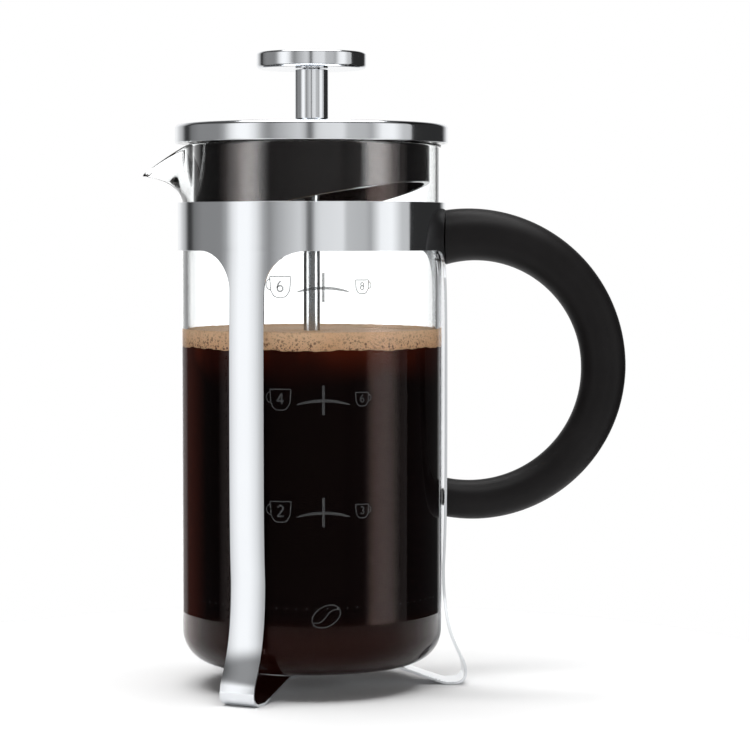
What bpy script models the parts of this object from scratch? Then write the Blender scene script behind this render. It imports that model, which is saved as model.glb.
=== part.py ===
"""French press: a glass beaker in a three-legged steel frame, with a turning lid and a plunger.

Everything is in metres with +Z up. The beaker's axis is the empty "press_axis"; the origin is on the
table, in the middle of the box that holds the whole press. The handle points to +X, the spout to -X.
"""

import math

import bmesh
import bpy
from mathutils import Matrix, Vector

MM = 0.001

# Clearances
GAP = 0.3 * MM  # air between two pieces that touch
LID_PLAY = 2.4 * MM  # between the plug and the inside of the glass
FILTER_PLAY = 0.5 * MM  # between the edge spring and the glass

# Beaker
GLASS_RADIUS = 50.0 * MM
GLASS_HEIGHT = 198.5 * MM
GLASS_WALL = 2.3 * MM
GLASS_FLOOR = 3.0 * MM
GLASS_CORNER = 12.5 * MM  # outside radius of the bottom corner
SPOUT_OUT = 14.5 * MM  # tip of the spout beyond the wall
SPOUT_DROP = 11.0 * MM  # tip of the spout below the rim
SPOUT_HALF_ANGLE = math.radians(23.0)

# Frame: one sheet with a band and three legs
SHEET = 1.0 * MM
BAND_HEIGHT = 18.2 * MM
BAND_BELOW_RIM = 22.2 * MM  # top of the band below the rim of the glass
LEG_COUNT = 3
LEG_WIDTH = 14.4 * MM
LEG_FILLET = 15.0 * MM  # where a leg spreads into the band
LEG_BOW = 0.9 * MM  # a leg stands this far off the glass at its middle
TOE_OUT = 8.6 * MM  # toe beyond the outside of the band
TOE_HEIGHT = 45.0 * MM  # where a leg starts to sweep out
TOE_RADIUS = 4.2 * MM
SOLE_FLAT = 3.2 * MM  # the flat that stands on the table
HEEL_RADIUS = 6.0 * MM
ARCH_SLOPE = math.radians(19.3)  # the strip climbs from the sole to the base plate
ARCH_RISE = 6.6 * MM  # underside of the strip where it is flat under the plate
STRIP_END = 14.0 * MM  # inner end of each strip, from the axis
PLATE_RADIUS = 27.0 * MM
PLATE_HOLE = 6.75 * MM  # radius of the hole in the middle of the plate
PLATE_THICKNESS = 1.0 * MM
RIVET_CIRCLE = 21.0 * MM
RIVET_RADIUS = 1.6 * MM
RIVET_HEAD = RIVET_RADIUS + 1.4 * MM
RIVET_HEAD_HEIGHT = 1.2 * MM

# Handle
HANDLE_OUT = 70.3 * MM  # outermost point, beyond the outside of the band
HANDLE_TOP_BELOW_BAND = 13.2 * MM  # middle of the upper end, below the top of the band
HANDLE_FOOT_Z = 72.0 * MM  # middle of the lower end
HANDLE_TOP_THICKNESS = 20.6 * MM
HANDLE_MIDDLE_THICKNESS = 17.3 * MM
HANDLE_FOOT_THICKNESS = 14.8 * MM
PEG_RADIUS = 3.0 * MM
PEG_LENGTH = 12.0 * MM
SCREW_RADIUS = 2.0 * MM
SCREW_HEAD_RADIUS = SCREW_RADIUS + 1.6 * MM
SCREW_HEAD_HEIGHT = 0.6 * MM
SCREW_LENGTH = 11.0 * MM
INSERT_WALL = 1.0 * MM
INSERT_LENGTH = 8.0 * MM

# Lid
CAP_OVERHANG = 2.3 * MM  # the cap beyond the glass
CAP_HEIGHT = 7.2 * MM
CAP_SHEET = 1.0 * MM
CAP_ROUNDING = 2.0 * MM
PLUG_WALL = 2.2 * MM
PLUG_LEVEL = 24.0 * MM  # the slanted edge at the axis, below the rim of the glass
PLUG_SLOPE = 0.214
PLUG_HIGH_SIDE = math.radians(-25.0)  # direction in which the skirt is shortest
HUB_WALL = 3.7 * MM  # the plug's hub round the bush
HUB_HEIGHT = 4.0 * MM  # below the plug's flange
BUSH_WALL = 1.55 * MM
BUSH_FLANGE_OUT = 1.2 * MM
BUSH_FLANGE_HEIGHT = 1.0 * MM
NUT_WALL = 2.5 * MM  # from the bush to a corner
BUSH_BELOW_NUT = 1.5 * MM
NUT_HEIGHT = 3.0 * MM

# Plunger
ROD_RADIUS = 3.15 * MM
THREAD_RADIUS = ROD_RADIUS - 0.75 * MM
SLEEVE_RADIUS = ROD_RADIUS + 3.25 * MM
SLEEVE_LENGTH = 19.4 * MM
KNOB_RADIUS = 21.0 * MM
KNOB_HEIGHT = 6.2 * MM
KNOB_ROUNDING = 1.6 * MM
KNOB_BORE_DEPTH = 3.6 * MM
FILTER_ABOVE_FLOOR = 21.8 * MM  # underside of the spring disc above the glass's floor, plunger down
DISC_SHEET = 0.8 * MM
MESH_SHEET = 0.5 * MM
SPRING_RADIUS = 1.4 * MM  # half the thickness of the coiled edge
DISC_HOLE_COUNT = 8
DISC_HOLE_RADIUS = 5.5 * MM
CROSS_ARM_WIDTH = 9.0 * MM
CROSS_RIM_WIDTH = 5.0 * MM
WASHER_RADIUS = THREAD_RADIUS + 3.6 * MM
WASHER_HEIGHT = 1.2 * MM
HUB_NUT_RADIUS = WASHER_RADIUS
HUB_NUT_HEIGHT = 4.5 * MM
TURNED_CHAMFER = 0.8 * MM  # at the foot of the sleeve and of the hub nut

# Facets
BODY_STEPS = 56
FRAME_STEPS = 72
BOW_STEPS = 6
SWEEP_STEPS = 7
KNOB_STEPS = 40
SMALL_STEPS = 20
FILTER_STEPS = 48

# Places that follow from the sizes above
PLATE_BOTTOM = ARCH_RISE + SHEET + GAP
GLASS_BOTTOM = PLATE_BOTTOM + PLATE_THICKNESS + GAP
RIM = GLASS_BOTTOM + GLASS_HEIGHT
GLASS_INSIDE = GLASS_RADIUS - GLASS_WALL
BAND_INSIDE = GLASS_RADIUS + GAP
BAND_OUTSIDE = BAND_INSIDE + SHEET
BAND_TOP = RIM - BAND_BELOW_RIM
BAND_BOTTOM = BAND_TOP - BAND_HEIGHT
SPOUT_DEPTH = BAND_BELOW_RIM - GAP  # the spout starts just above the band
HANDLE_TOP_Z = BAND_TOP - HANDLE_TOP_BELOW_BAND
CAP_RADIUS = GLASS_RADIUS + CAP_OVERHANG
CAP_BOTTOM = RIM + GAP
CAP_TOP = CAP_BOTTOM + CAP_HEIGHT
PLUG_TOP = CAP_TOP - CAP_SHEET - GAP
PLUG_RADIUS = GLASS_INSIDE - LID_PLAY
FLANGE_BOTTOM = RIM + GAP
SLEEVE_BOTTOM = CAP_TOP + GAP + BUSH_FLANGE_HEIGHT + GAP
KNOB_BOTTOM = SLEEVE_BOTTOM + SLEEVE_LENGTH + GAP
BUSH_BORE = ROD_RADIUS + GAP
BUSH_RADIUS = BUSH_BORE + BUSH_WALL
FILTER_HEIGHT = GLASS_BOTTOM + GLASS_FLOOR + FILTER_ABOVE_FLOOR
HANDLE_REACH = BAND_OUTSIDE + HANDLE_OUT
AXIS_X = (GLASS_RADIUS + SPOUT_OUT - HANDLE_REACH) / 2


# ---- Helpers -------------------------------------------------------------------------------------


def clear_scene():
    """Removes whatever the file opened with."""
    for old in list(bpy.data.objects):
        bpy.data.objects.remove(old, do_unlink=True)


def new_collection(name):
    found = bpy.data.collections.new(name)
    bpy.context.scene.collection.children.link(found)
    return found


def new_material(name, colour, roughness, metallic=0.0, transmission=0.0):
    """A Principled material with one colour."""
    made = bpy.data.materials.new(name)
    made.use_nodes = True
    shader = made.node_tree.nodes["Principled BSDF"]
    shader.inputs["Base Color"].default_value = (*colour, 1.0)
    shader.inputs["Roughness"].default_value = roughness
    shader.inputs["Metallic"].default_value = metallic
    shader.inputs["Transmission Weight"].default_value = transmission
    made.diffuse_color = (*colour, 1.0)
    return made


def arc(centre, radius, start, end, steps):
    """Points on a circle of the (radius, height) plane, from one angle to another, both in degrees."""
    angles = [math.radians(start + (end - start) * i / steps) for i in range(steps + 1)]
    return [(centre[0] + radius * math.cos(a), centre[1] + radius * math.sin(a)) for a in angles]


def add_object(name, data, parent, material=None, location=(0.0, 0.0, 0.0)):
    """An object in the press's collection, placed from its parent."""
    made = bpy.data.objects.new(name, data)
    press.objects.link(made)
    made.parent = parent
    made.location = location
    if material is not None:
        data.materials.append(material)
    return made


def add_empty(name, parent, location):
    """An axis that the pieces of one body hang from."""
    made = bpy.data.objects.new(name, None)
    press.objects.link(made)
    made.parent = parent
    made.location = location
    return made


def make_cutter(piece):
    """Moves a piece to the cutters, out of the render."""
    for owner in list(piece.users_collection):
        owner.objects.unlink(piece)
    cutters.objects.link(piece)
    piece.hide_render = True
    piece.display_type = "WIRE"
    return piece


def boolean(piece, other, operation="DIFFERENCE"):
    """An exact Boolean of one mesh with another."""
    made = piece.modifiers.new(other.name, "BOOLEAN")
    made.operation = operation
    made.object = other
    made.solver = "EXACT"


def soften(piece, width, segments=2, angle=40.0):
    """Rounds the edges that turn by more than an angle in degrees."""
    made = piece.modifiers.new("rounded_edges", "BEVEL")
    made.width = width
    made.segments = segments
    made.limit_method = "ANGLE"
    made.angle_limit = math.radians(angle)


def smooth(piece):
    piece.data.shade_smooth()
    piece.data.set_sharp_from_angle(angle=math.radians(35.0))


def turned(name, profile, material, parent, height=0.0, steps=SMALL_STEPS, closed=True):
    """A piece turned about the upright axis.

    The profile is a list of (radius, height) that runs down the outer side. A closed one is a ring;
    one that isn't closed starts and ends on the axis, or is a sheet that Solidify thickens.
    """
    mesh = bpy.data.meshes.new(name)
    count = len(profile)
    edges = [(i, i + 1) for i in range(count - 1)]
    if closed:
        edges.append((count - 1, 0))
    mesh.from_pydata([(r, 0.0, z) for r, z in profile], edges, [])
    made = add_object(name, mesh, parent, material, (0.0, 0.0, height))
    screw = made.modifiers.new("turn", "SCREW")
    screw.axis = "Z"
    screw.angle = math.tau
    screw.steps = steps
    screw.render_steps = steps
    screw.use_merge_vertices = True
    screw.merge_threshold = 0.00001
    screw.use_smooth_shade = True
    return made


def ring(name, inner, outer, height, material, parent, at, steps=SMALL_STEPS):
    """A plain ring or washer, its underside at a height."""
    profile = [(inner, 0.0), (inner, height), (outer, height), (outer, 0.0)]
    return turned(name, profile, material, parent, at, steps)


def as_mesh(piece):
    """A piece with its modifiers or its curve made into one welded mesh, under the same name and parent."""
    bpy.context.view_layer.update()
    graph = bpy.context.evaluated_depsgraph_get()
    mesh = bpy.data.meshes.new_from_object(piece.evaluated_get(graph))
    cage = bmesh.new()
    cage.from_mesh(mesh)
    bmesh.ops.remove_doubles(cage, verts=cage.verts, dist=0.000001)
    bmesh.ops.recalc_face_normals(cage, faces=cage.faces)
    cage.to_mesh(mesh)
    cage.free()
    name, parent, place = piece.name, piece.parent, piece.matrix_world.copy()
    bpy.data.objects.remove(piece, do_unlink=True)
    made = bpy.data.objects.new(name, mesh)
    mesh.name = name
    press.objects.link(made)
    made.parent = parent
    made.matrix_world = place
    return made


def solid_cylinders(name, parent, radius, length, places, sides=SMALL_STEPS):
    """Cylinders in one mesh, one for each matrix, standing on their own Z and centred."""
    cage = bmesh.new()
    for place in places:
        bmesh.ops.create_cone(
            cage, cap_ends=True, segments=sides, radius1=radius, radius2=radius, depth=length, matrix=place
        )
    mesh = bpy.data.meshes.new(name)
    cage.to_mesh(mesh)
    cage.free()
    return add_object(name, mesh, parent)


def around(count, radius, height=0.0, first=0.0):
    """Matrices at equal angles round the axis."""
    turns = [first + math.tau * i / count for i in range(count)]
    return [Matrix.Translation((radius * math.cos(t), radius * math.sin(t), height)) for t in turns]


def along_x(x, z):
    """A matrix that lays a cylinder's axis along X."""
    return Matrix.Translation((x, 0.0, z)) @ Matrix.Rotation(math.pi / 2, 4, "Y")


# ---- Frame ---------------------------------------------------------------------------------------


def leg_outline():
    """The outside of the sheet in (radius, height), from the top of the band to the strip's inner end."""
    toe = BAND_OUTSIDE + TOE_OUT
    points = [(BAND_OUTSIDE, BAND_TOP), (BAND_OUTSIDE, BAND_BOTTOM)]
    for i in range(1, BOW_STEPS):
        s = 1 - i / BOW_STEPS
        height = TOE_HEIGHT + (BAND_BOTTOM - TOE_HEIGHT) * s
        points.append((BAND_OUTSIDE + LEG_BOW * (1 - (2 * s - 1) ** 4), height))
    # The sweep to the toe is a cubic whose ends are upright.
    start = Vector((BAND_OUTSIDE, TOE_HEIGHT))
    end = Vector((toe, TOE_RADIUS))
    lean_start = Vector((BAND_OUTSIDE, 0.31 * TOE_HEIGHT))
    lean_end = Vector((toe, 0.29 * TOE_HEIGHT))
    for i in range(SWEEP_STEPS + 1):
        t = i / SWEEP_STEPS
        u = 1 - t
        point = u**3 * start + 3 * u * u * t * lean_start + 3 * u * t * t * lean_end + t**3 * end
        points.append((point.x, point.y))
    points += arc((toe - TOE_RADIUS, TOE_RADIUS), TOE_RADIUS, 0, -90, 4)[1:]
    heel = toe - TOE_RADIUS - SOLE_FLAT
    slope = math.degrees(ARCH_SLOPE)
    points += arc((heel, HEEL_RADIUS), HEEL_RADIUS, -90, -90 - slope, 2)
    # The strip climbs straight and turns level with a bend like the heel's.
    foot = points[-1]
    bend = HEEL_RADIUS * (1 - math.cos(ARCH_SLOPE))
    run = (ARCH_RISE - bend - foot[1]) / math.tan(ARCH_SLOPE)
    level = foot[0] - run - HEEL_RADIUS * math.sin(ARCH_SLOPE)
    points += arc((level, ARCH_RISE - HEEL_RADIUS), HEEL_RADIUS, 90 - slope, 90, 2)
    points.append((STRIP_END - 2 * MM, ARCH_RISE))
    return points


def leg_directions():
    """One leg is under the handle, the others at equal turns from it."""
    return [math.tau * i / LEG_COUNT for i in range(LEG_COUNT)]


def leg_blank(name, direction):
    """The flat outline of one leg, with the fillets that run into the band, as thick as the foot is deep."""
    half = LEG_WIDTH / 2
    wide = half + LEG_FILLET
    right = arc((wide, BAND_BOTTOM - LEG_FILLET), LEG_FILLET, 180, 90, 7)
    right += [(wide, BAND_BOTTOM + BAND_HEIGHT / 2)]
    outline = [(half, -2 * MM)] + right
    outline += [(-y, z) for y, z in reversed(outline)]
    curve = bpy.data.curves.new(name, "CURVE")
    curve.dimensions = "2D"
    curve.fill_mode = "BOTH"
    outer = BAND_OUTSIDE + TOE_OUT + 5 * MM
    curve.extrude = (outer - STRIP_END) / 2
    spline = curve.splines.new("POLY")
    spline.points.add(len(outline) - 1)
    for point, (y, z) in zip(spline.points, outline):
        point.co = (y, z, 0.0, 1.0)
    spline.use_cyclic_u = True
    middle = (outer + STRIP_END) / 2
    place = (middle * math.cos(direction), middle * math.sin(direction), 0.0)
    made = add_object(name, curve, axis, None, place)
    made.rotation_euler = (math.pi / 2, 0.0, direction + math.pi / 2)
    return make_cutter(as_mesh(made))


def make_frame():
    """The band and legs: a turned sheet, kept only where the band and the three blanks are."""
    frame = turned("frame", leg_outline(), steel, axis, steps=FRAME_STEPS, closed=False)
    sheet = frame.modifiers.new("sheet", "SOLIDIFY")
    sheet.thickness = SHEET
    sheet.offset = -1.0
    sheet.use_even_offset = True
    keep = solid_cylinders(
        "keep_band",
        axis,
        BAND_OUTSIDE + TOE_OUT + 8 * MM,
        BAND_HEIGHT,
        [Matrix.Translation((0.0, 0.0, BAND_BOTTOM + BAND_HEIGHT / 2))],
        BODY_STEPS,
    )
    make_cutter(keep)
    for i, direction in enumerate(leg_directions()):
        boolean(keep, leg_blank(f"leg_blank_{i + 1}", direction), "UNION")
    boolean(frame, keep, "INTERSECT")
    holes = solid_cylinders(
        "rivet_holes", axis, RIVET_RADIUS + GAP, 10 * MM, around(LEG_COUNT, RIVET_CIRCLE, PLATE_BOTTOM)
    )
    make_cutter(holes)
    boolean(frame, holes)
    screw_hole = solid_cylinders(
        "screw_hole", axis, SCREW_RADIUS + GAP, 8 * MM, [along_x(BAND_OUTSIDE, HANDLE_FOOT_Z)]
    )
    boolean(frame, make_cutter(screw_hole))

    plate = ring(
        "base_plate", PLATE_HOLE, PLATE_RADIUS, PLATE_THICKNESS, brushed, axis, PLATE_BOTTOM, 48
    )
    boolean(plate, holes)

    # Each rivet: a domed head under the strip, and a shank that ends flush inside the plate.
    shank = ARCH_RISE - GAP
    dome = [(0.0, shank - RIVET_HEAD_HEIGHT), (0.6 * RIVET_HEAD, shank - RIVET_HEAD_HEIGHT)]
    flush = PLATE_BOTTOM + PLATE_THICKNESS - GAP
    outline = [(0.0, flush), (RIVET_RADIUS, flush), (RIVET_RADIUS, shank)]
    outline += [(RIVET_HEAD, shank), (RIVET_HEAD, shank - 0.4 * RIVET_HEAD_HEIGHT)]
    outline += list(reversed(dome))
    for i, direction in enumerate(leg_directions()):
        rivet = turned(f"base_rivet_{i + 1}", outline, brushed, axis, steps=16, closed=False)
        rivet.location = (RIVET_CIRCLE * math.cos(direction), RIVET_CIRCLE * math.sin(direction), 0.0)
        smooth(rivet)


# ---- Handle --------------------------------------------------------------------------------------


def handle_route():
    """Points (x, z, thickness) of the handle: an arc through its ends and its outermost point."""
    half = (HANDLE_TOP_Z - HANDLE_FOOT_Z) / 2
    reach = HANDLE_REACH - HANDLE_MIDDLE_THICKNESS / 2 - BAND_OUTSIDE
    radius = (half * half + reach * reach) / (2 * reach)
    centre_x = BAND_OUTSIDE + reach - radius
    centre_z = (HANDLE_TOP_Z + HANDLE_FOOT_Z) / 2
    end = math.pi - math.asin(half / radius) if reach > radius else math.asin(half / radius)
    # Both ends run a little past the band, and are cut to fit it.
    spare = 3 * MM / radius
    steps = 34
    route = []
    for i in range(steps + 1):
        s = i / steps
        angle = (end + spare) * (1 - 2 * s)
        thick = HANDLE_MIDDLE_THICKNESS
        if s < 0.5:
            thick += (HANDLE_TOP_THICKNESS - HANDLE_MIDDLE_THICKNESS) * (1 - 2 * s) ** 1.6
        else:
            thick += (HANDLE_FOOT_THICKNESS - HANDLE_MIDDLE_THICKNESS) * (2 * s - 1)
        route.append((centre_x + radius * math.cos(angle), centre_z + radius * math.sin(angle), thick))
    return route


def make_handle():
    curve = bpy.data.curves.new("handle", "CURVE")
    curve.dimensions = "3D"
    curve.bevel_depth = 0.5
    curve.bevel_resolution = 4
    curve.use_fill_caps = True
    spline = curve.splines.new("POLY")
    route = handle_route()
    spline.points.add(len(route) - 1)
    for point, (x, z, thick) in zip(spline.points, route):
        point.co = (x, 0.0, z, 1.0)
        point.radius = thick
    handle = as_mesh(add_object("handle", curve, axis))
    handle.data.materials.clear()
    handle.data.materials.append(black)

    # The ends are hollowed to sit on the band and on the bowed leg.
    fit = [(r + GAP, z) for r, z in leg_outline()[: BOW_STEPS + 2]]
    cover = 15 * MM
    fit = [(0.0, BAND_TOP + cover), (fit[0][0], BAND_TOP + cover)] + fit
    fit += [(fit[-1][0], TOE_HEIGHT), (0.0, TOE_HEIGHT)]
    seat = turned("handle_seat", fit, None, axis, steps=FRAME_STEPS, closed=False)
    boolean(handle, make_cutter(seat))

    insert_radius = SCREW_RADIUS + GAP + INSERT_WALL
    foot_face = BAND_OUTSIDE + LEG_BOW + GAP
    peg_hole = solid_cylinders(
        "peg_hole", axis, PEG_RADIUS + GAP, 2 * (PEG_LENGTH + 1 * MM), [along_x(BAND_OUTSIDE, HANDLE_TOP_Z)]
    )
    boolean(handle, make_cutter(peg_hole))
    insert_hole = solid_cylinders(
        "insert_hole",
        axis,
        insert_radius + GAP,
        2 * (SCREW_LENGTH + 2 * MM),
        [along_x(BAND_OUTSIDE, HANDLE_FOOT_Z)],
    )
    boolean(handle, make_cutter(insert_hole))
    smooth(handle)

    # Turned pieces that lie along X: their own axis points out of the band.
    def lay(piece, x, z):
        piece.location = (x, 0.0, z)
        piece.rotation_euler = (0.0, math.pi / 2, 0.0)
        smooth(piece)
        return piece

    peg = [(0.0, PEG_LENGTH), (PEG_RADIUS, PEG_LENGTH), (PEG_RADIUS, 0.0), (0.0, 0.0)]
    lay(turned("handle_peg", peg, brushed, axis, closed=False), BAND_OUTSIDE + GAP, HANDLE_TOP_Z)

    head = SCREW_HEAD_HEIGHT
    screw = [(0.0, SCREW_LENGTH), (SCREW_RADIUS, SCREW_LENGTH), (SCREW_RADIUS, head)]
    screw += [(SCREW_HEAD_RADIUS, head), (0.85 * SCREW_HEAD_RADIUS, 0.0), (0.0, 0.0)]
    lay(turned("handle_screw", screw, brushed, axis, closed=False), GLASS_RADIUS + GAP, HANDLE_FOOT_Z)

    inner = SCREW_RADIUS + GAP
    insert = [(inner, 0.0), (inner, INSERT_LENGTH), (insert_radius, INSERT_LENGTH), (insert_radius, 0.0)]
    lay(turned("handle_insert", insert, brass, axis), foot_face + 1 * MM, HANDLE_FOOT_Z)


# ---- Beaker --------------------------------------------------------------------------------------


def spout_push(point):
    """Moves a point of the plain wall into the spout.

    The push grows with height from the spout's root to the rim. Across the spout it is a bell that is
    flat at its edges and narrow at the tip.
    """
    across = math.atan2(abs(point.y), -point.x) / SPOUT_HALF_ANGLE
    root = GLASS_HEIGHT - SPOUT_DEPTH
    up = min(1.0, (point.z - root) / (SPOUT_DEPTH - GLASS_WALL / 2))
    if across >= 1 or up <= 0:
        return point
    bell = (1 - across**1.35) ** 2
    out = SPOUT_OUT * bell * (0.35 * up * up + 0.65 * up**1.5)
    drop = SPOUT_DROP * bell * up**1.6
    return Vector((point.x - out, point.y, point.z - drop))


def make_beaker():
    """A turned wall whose facets are gathered towards the spout, then pushed out there."""
    inner_corner = GLASS_CORNER - GLASS_WALL
    profile = [(0.0, GLASS_FLOOR)]
    profile += arc((GLASS_INSIDE - inner_corner, GLASS_FLOOR + inner_corner), inner_corner, -90, 0, 5)
    root = GLASS_HEIGHT - SPOUT_DEPTH
    lip = GLASS_WALL / 2
    levels = [root + (GLASS_HEIGHT - lip - root) * i / 6 for i in range(7)]
    profile += [(GLASS_INSIDE, z) for z in levels]
    profile += arc((GLASS_INSIDE + lip, GLASS_HEIGHT - lip), lip, 150, 30, 2)
    profile += [(GLASS_RADIUS, z) for z in reversed(levels)]
    profile += arc((GLASS_RADIUS - GLASS_CORNER, GLASS_CORNER), GLASS_CORNER, 0, -90, 5)
    profile += [(0.0, 0.0)]
    beaker = turned("beaker", profile, glass, axis, GLASS_BOTTOM, 72, closed=False)
    beaker = as_mesh(beaker)
    for vertex in beaker.data.vertices:
        point = vertex.co
        radius = math.hypot(point.x, point.y)
        turn = math.atan2(point.y, -point.x)
        turn -= 0.5 * math.sin(turn)
        gathered = Vector((-radius * math.cos(turn), radius * math.sin(turn), point.z))
        vertex.co = spout_push(gathered)
    smooth(beaker)
    return beaker


# ---- Lid -----------------------------------------------------------------------------------------


def make_lid():
    hole = BUSH_RADIUS + GAP
    cap = [(hole, CAP_HEIGHT - CAP_SHEET), (hole, CAP_HEIGHT)]
    cap += arc((CAP_RADIUS - CAP_ROUNDING, CAP_HEIGHT - CAP_ROUNDING), CAP_ROUNDING, 90, 0, 3)
    edge = 0.5 * CAP_SHEET
    cap += arc((CAP_RADIUS - edge, edge), edge, 0, -90, 2)
    inside = CAP_RADIUS - CAP_SHEET
    cap += [(inside, edge), (inside, CAP_HEIGHT - CAP_SHEET)]
    smooth(turned("lid_cap", cap, steel, lid_axis, CAP_BOTTOM, BODY_STEPS))

    # The plug: a flange inside the cap, a skirt inside the glass, and a hub round the bush.
    deep = PLUG_LEVEL + PLUG_SLOPE * PLUG_RADIUS + 2 * MM
    flange = PLUG_TOP - FLANGE_BOTTOM
    skirt_inside = PLUG_RADIUS - PLUG_WALL
    web = flange - PLUG_WALL
    plug = [(hole, -HUB_HEIGHT), (hole, flange), (inside - GAP, flange), (inside - GAP, 0.0)]
    plug += [(PLUG_RADIUS, 0.0), (PLUG_RADIUS, -deep), (skirt_inside, -deep), (skirt_inside, web)]
    plug += [(hole + HUB_WALL, web), (hole + HUB_WALL, -HUB_HEIGHT)]
    skirt = turned("lid_plug", plug, black, lid_axis, FLANGE_BOTTOM, BODY_STEPS)
    size = 4 * CAP_RADIUS
    cage = bmesh.new()
    bmesh.ops.create_cube(cage, size=size)
    mesh = bpy.data.meshes.new("slant")
    cage.to_mesh(mesh)
    cage.free()
    slant = add_object("slant", mesh, lid_axis)
    tilt = Matrix.Rotation(PLUG_HIGH_SIDE, 4, "Z") @ Matrix.Rotation(-math.atan(PLUG_SLOPE), 4, "Y")
    slant.matrix_local = (
        Matrix.Translation((0.0, 0.0, RIM - PLUG_LEVEL)) @ tilt @ Matrix.Translation((0.0, 0.0, -size / 2))
    )
    boolean(skirt, make_cutter(slant))
    smooth(skirt)


def make_guide():
    """The bush that the rod slides in, and the nut that clamps it to the lid from below."""
    nut_top = FLANGE_BOTTOM - HUB_HEIGHT - GAP
    bottom = nut_top - NUT_HEIGHT - BUSH_BELOW_NUT
    flange = CAP_TOP + GAP
    top = flange + BUSH_FLANGE_HEIGHT
    rim = BUSH_RADIUS + BUSH_FLANGE_OUT
    edge = 0.3 * BUSH_FLANGE_HEIGHT
    bush = [(BUSH_BORE, bottom), (BUSH_BORE, top), (rim - edge, top)]
    bush += [(rim, top - edge), (rim, flange), (BUSH_RADIUS, flange)]
    bush += [(BUSH_RADIUS, bottom)]
    smooth(turned("lid_bush", bush, steel, guide_axis))

    nut = solid_cylinders(
        "lid_nut",
        guide_axis,
        BUSH_RADIUS + NUT_WALL,
        NUT_HEIGHT,
        [Matrix.Translation((0.0, 0.0, nut_top - NUT_HEIGHT / 2))],
        6,
    )
    nut.data.materials.append(brushed)
    hole = solid_cylinders(
        "nut_hole",
        guide_axis,
        BUSH_RADIUS + GAP,
        4 * NUT_HEIGHT,
        [Matrix.Translation((0.0, 0.0, nut_top))],
    )
    boolean(nut, make_cutter(hole))
    soften(nut, 0.4 * MM, 1)


# ---- Plunger -------------------------------------------------------------------------------------


def make_knob_and_rod():
    bore = ROD_RADIUS + GAP
    knob = [(0.0, KNOB_HEIGHT), (KNOB_RADIUS - KNOB_ROUNDING, KNOB_HEIGHT)]
    knob += arc((KNOB_RADIUS - KNOB_ROUNDING, KNOB_HEIGHT - KNOB_ROUNDING), KNOB_ROUNDING, 60, 0, 2)
    knob += arc((KNOB_RADIUS - KNOB_ROUNDING, KNOB_ROUNDING), KNOB_ROUNDING, 0, -90, 3)
    knob += [(bore, 0.0), (bore, KNOB_BORE_DEPTH), (0.0, KNOB_BORE_DEPTH)]
    smooth(turned("knob", knob, steel, plunger_axis, KNOB_BOTTOM, KNOB_STEPS, closed=False))

    sleeve = [(bore, 0.0), (bore, SLEEVE_LENGTH), (SLEEVE_RADIUS, SLEEVE_LENGTH)]
    sleeve += [(SLEEVE_RADIUS, TURNED_CHAMFER), (SLEEVE_RADIUS - TURNED_CHAMFER, 0.0)]
    smooth(turned("knob_sleeve", sleeve, steel, plunger_axis, SLEEVE_BOTTOM, 32))

    shoulder = FILTER_HEIGHT + DISC_SHEET + GAP + WASHER_HEIGHT + GAP
    top = KNOB_BOTTOM + KNOB_BORE_DEPTH - GAP
    tip = FILTER_HEIGHT - 2 * GAP - MESH_SHEET - DISC_SHEET - HUB_NUT_HEIGHT
    rod = [(0.0, top), (ROD_RADIUS, top), (ROD_RADIUS, shoulder)]
    rod += [(THREAD_RADIUS, shoulder - 0.5 * MM), (THREAD_RADIUS, tip), (0.0, tip)]
    smooth(turned("plunger_rod", rod, steel, plunger_axis, closed=False))


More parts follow.
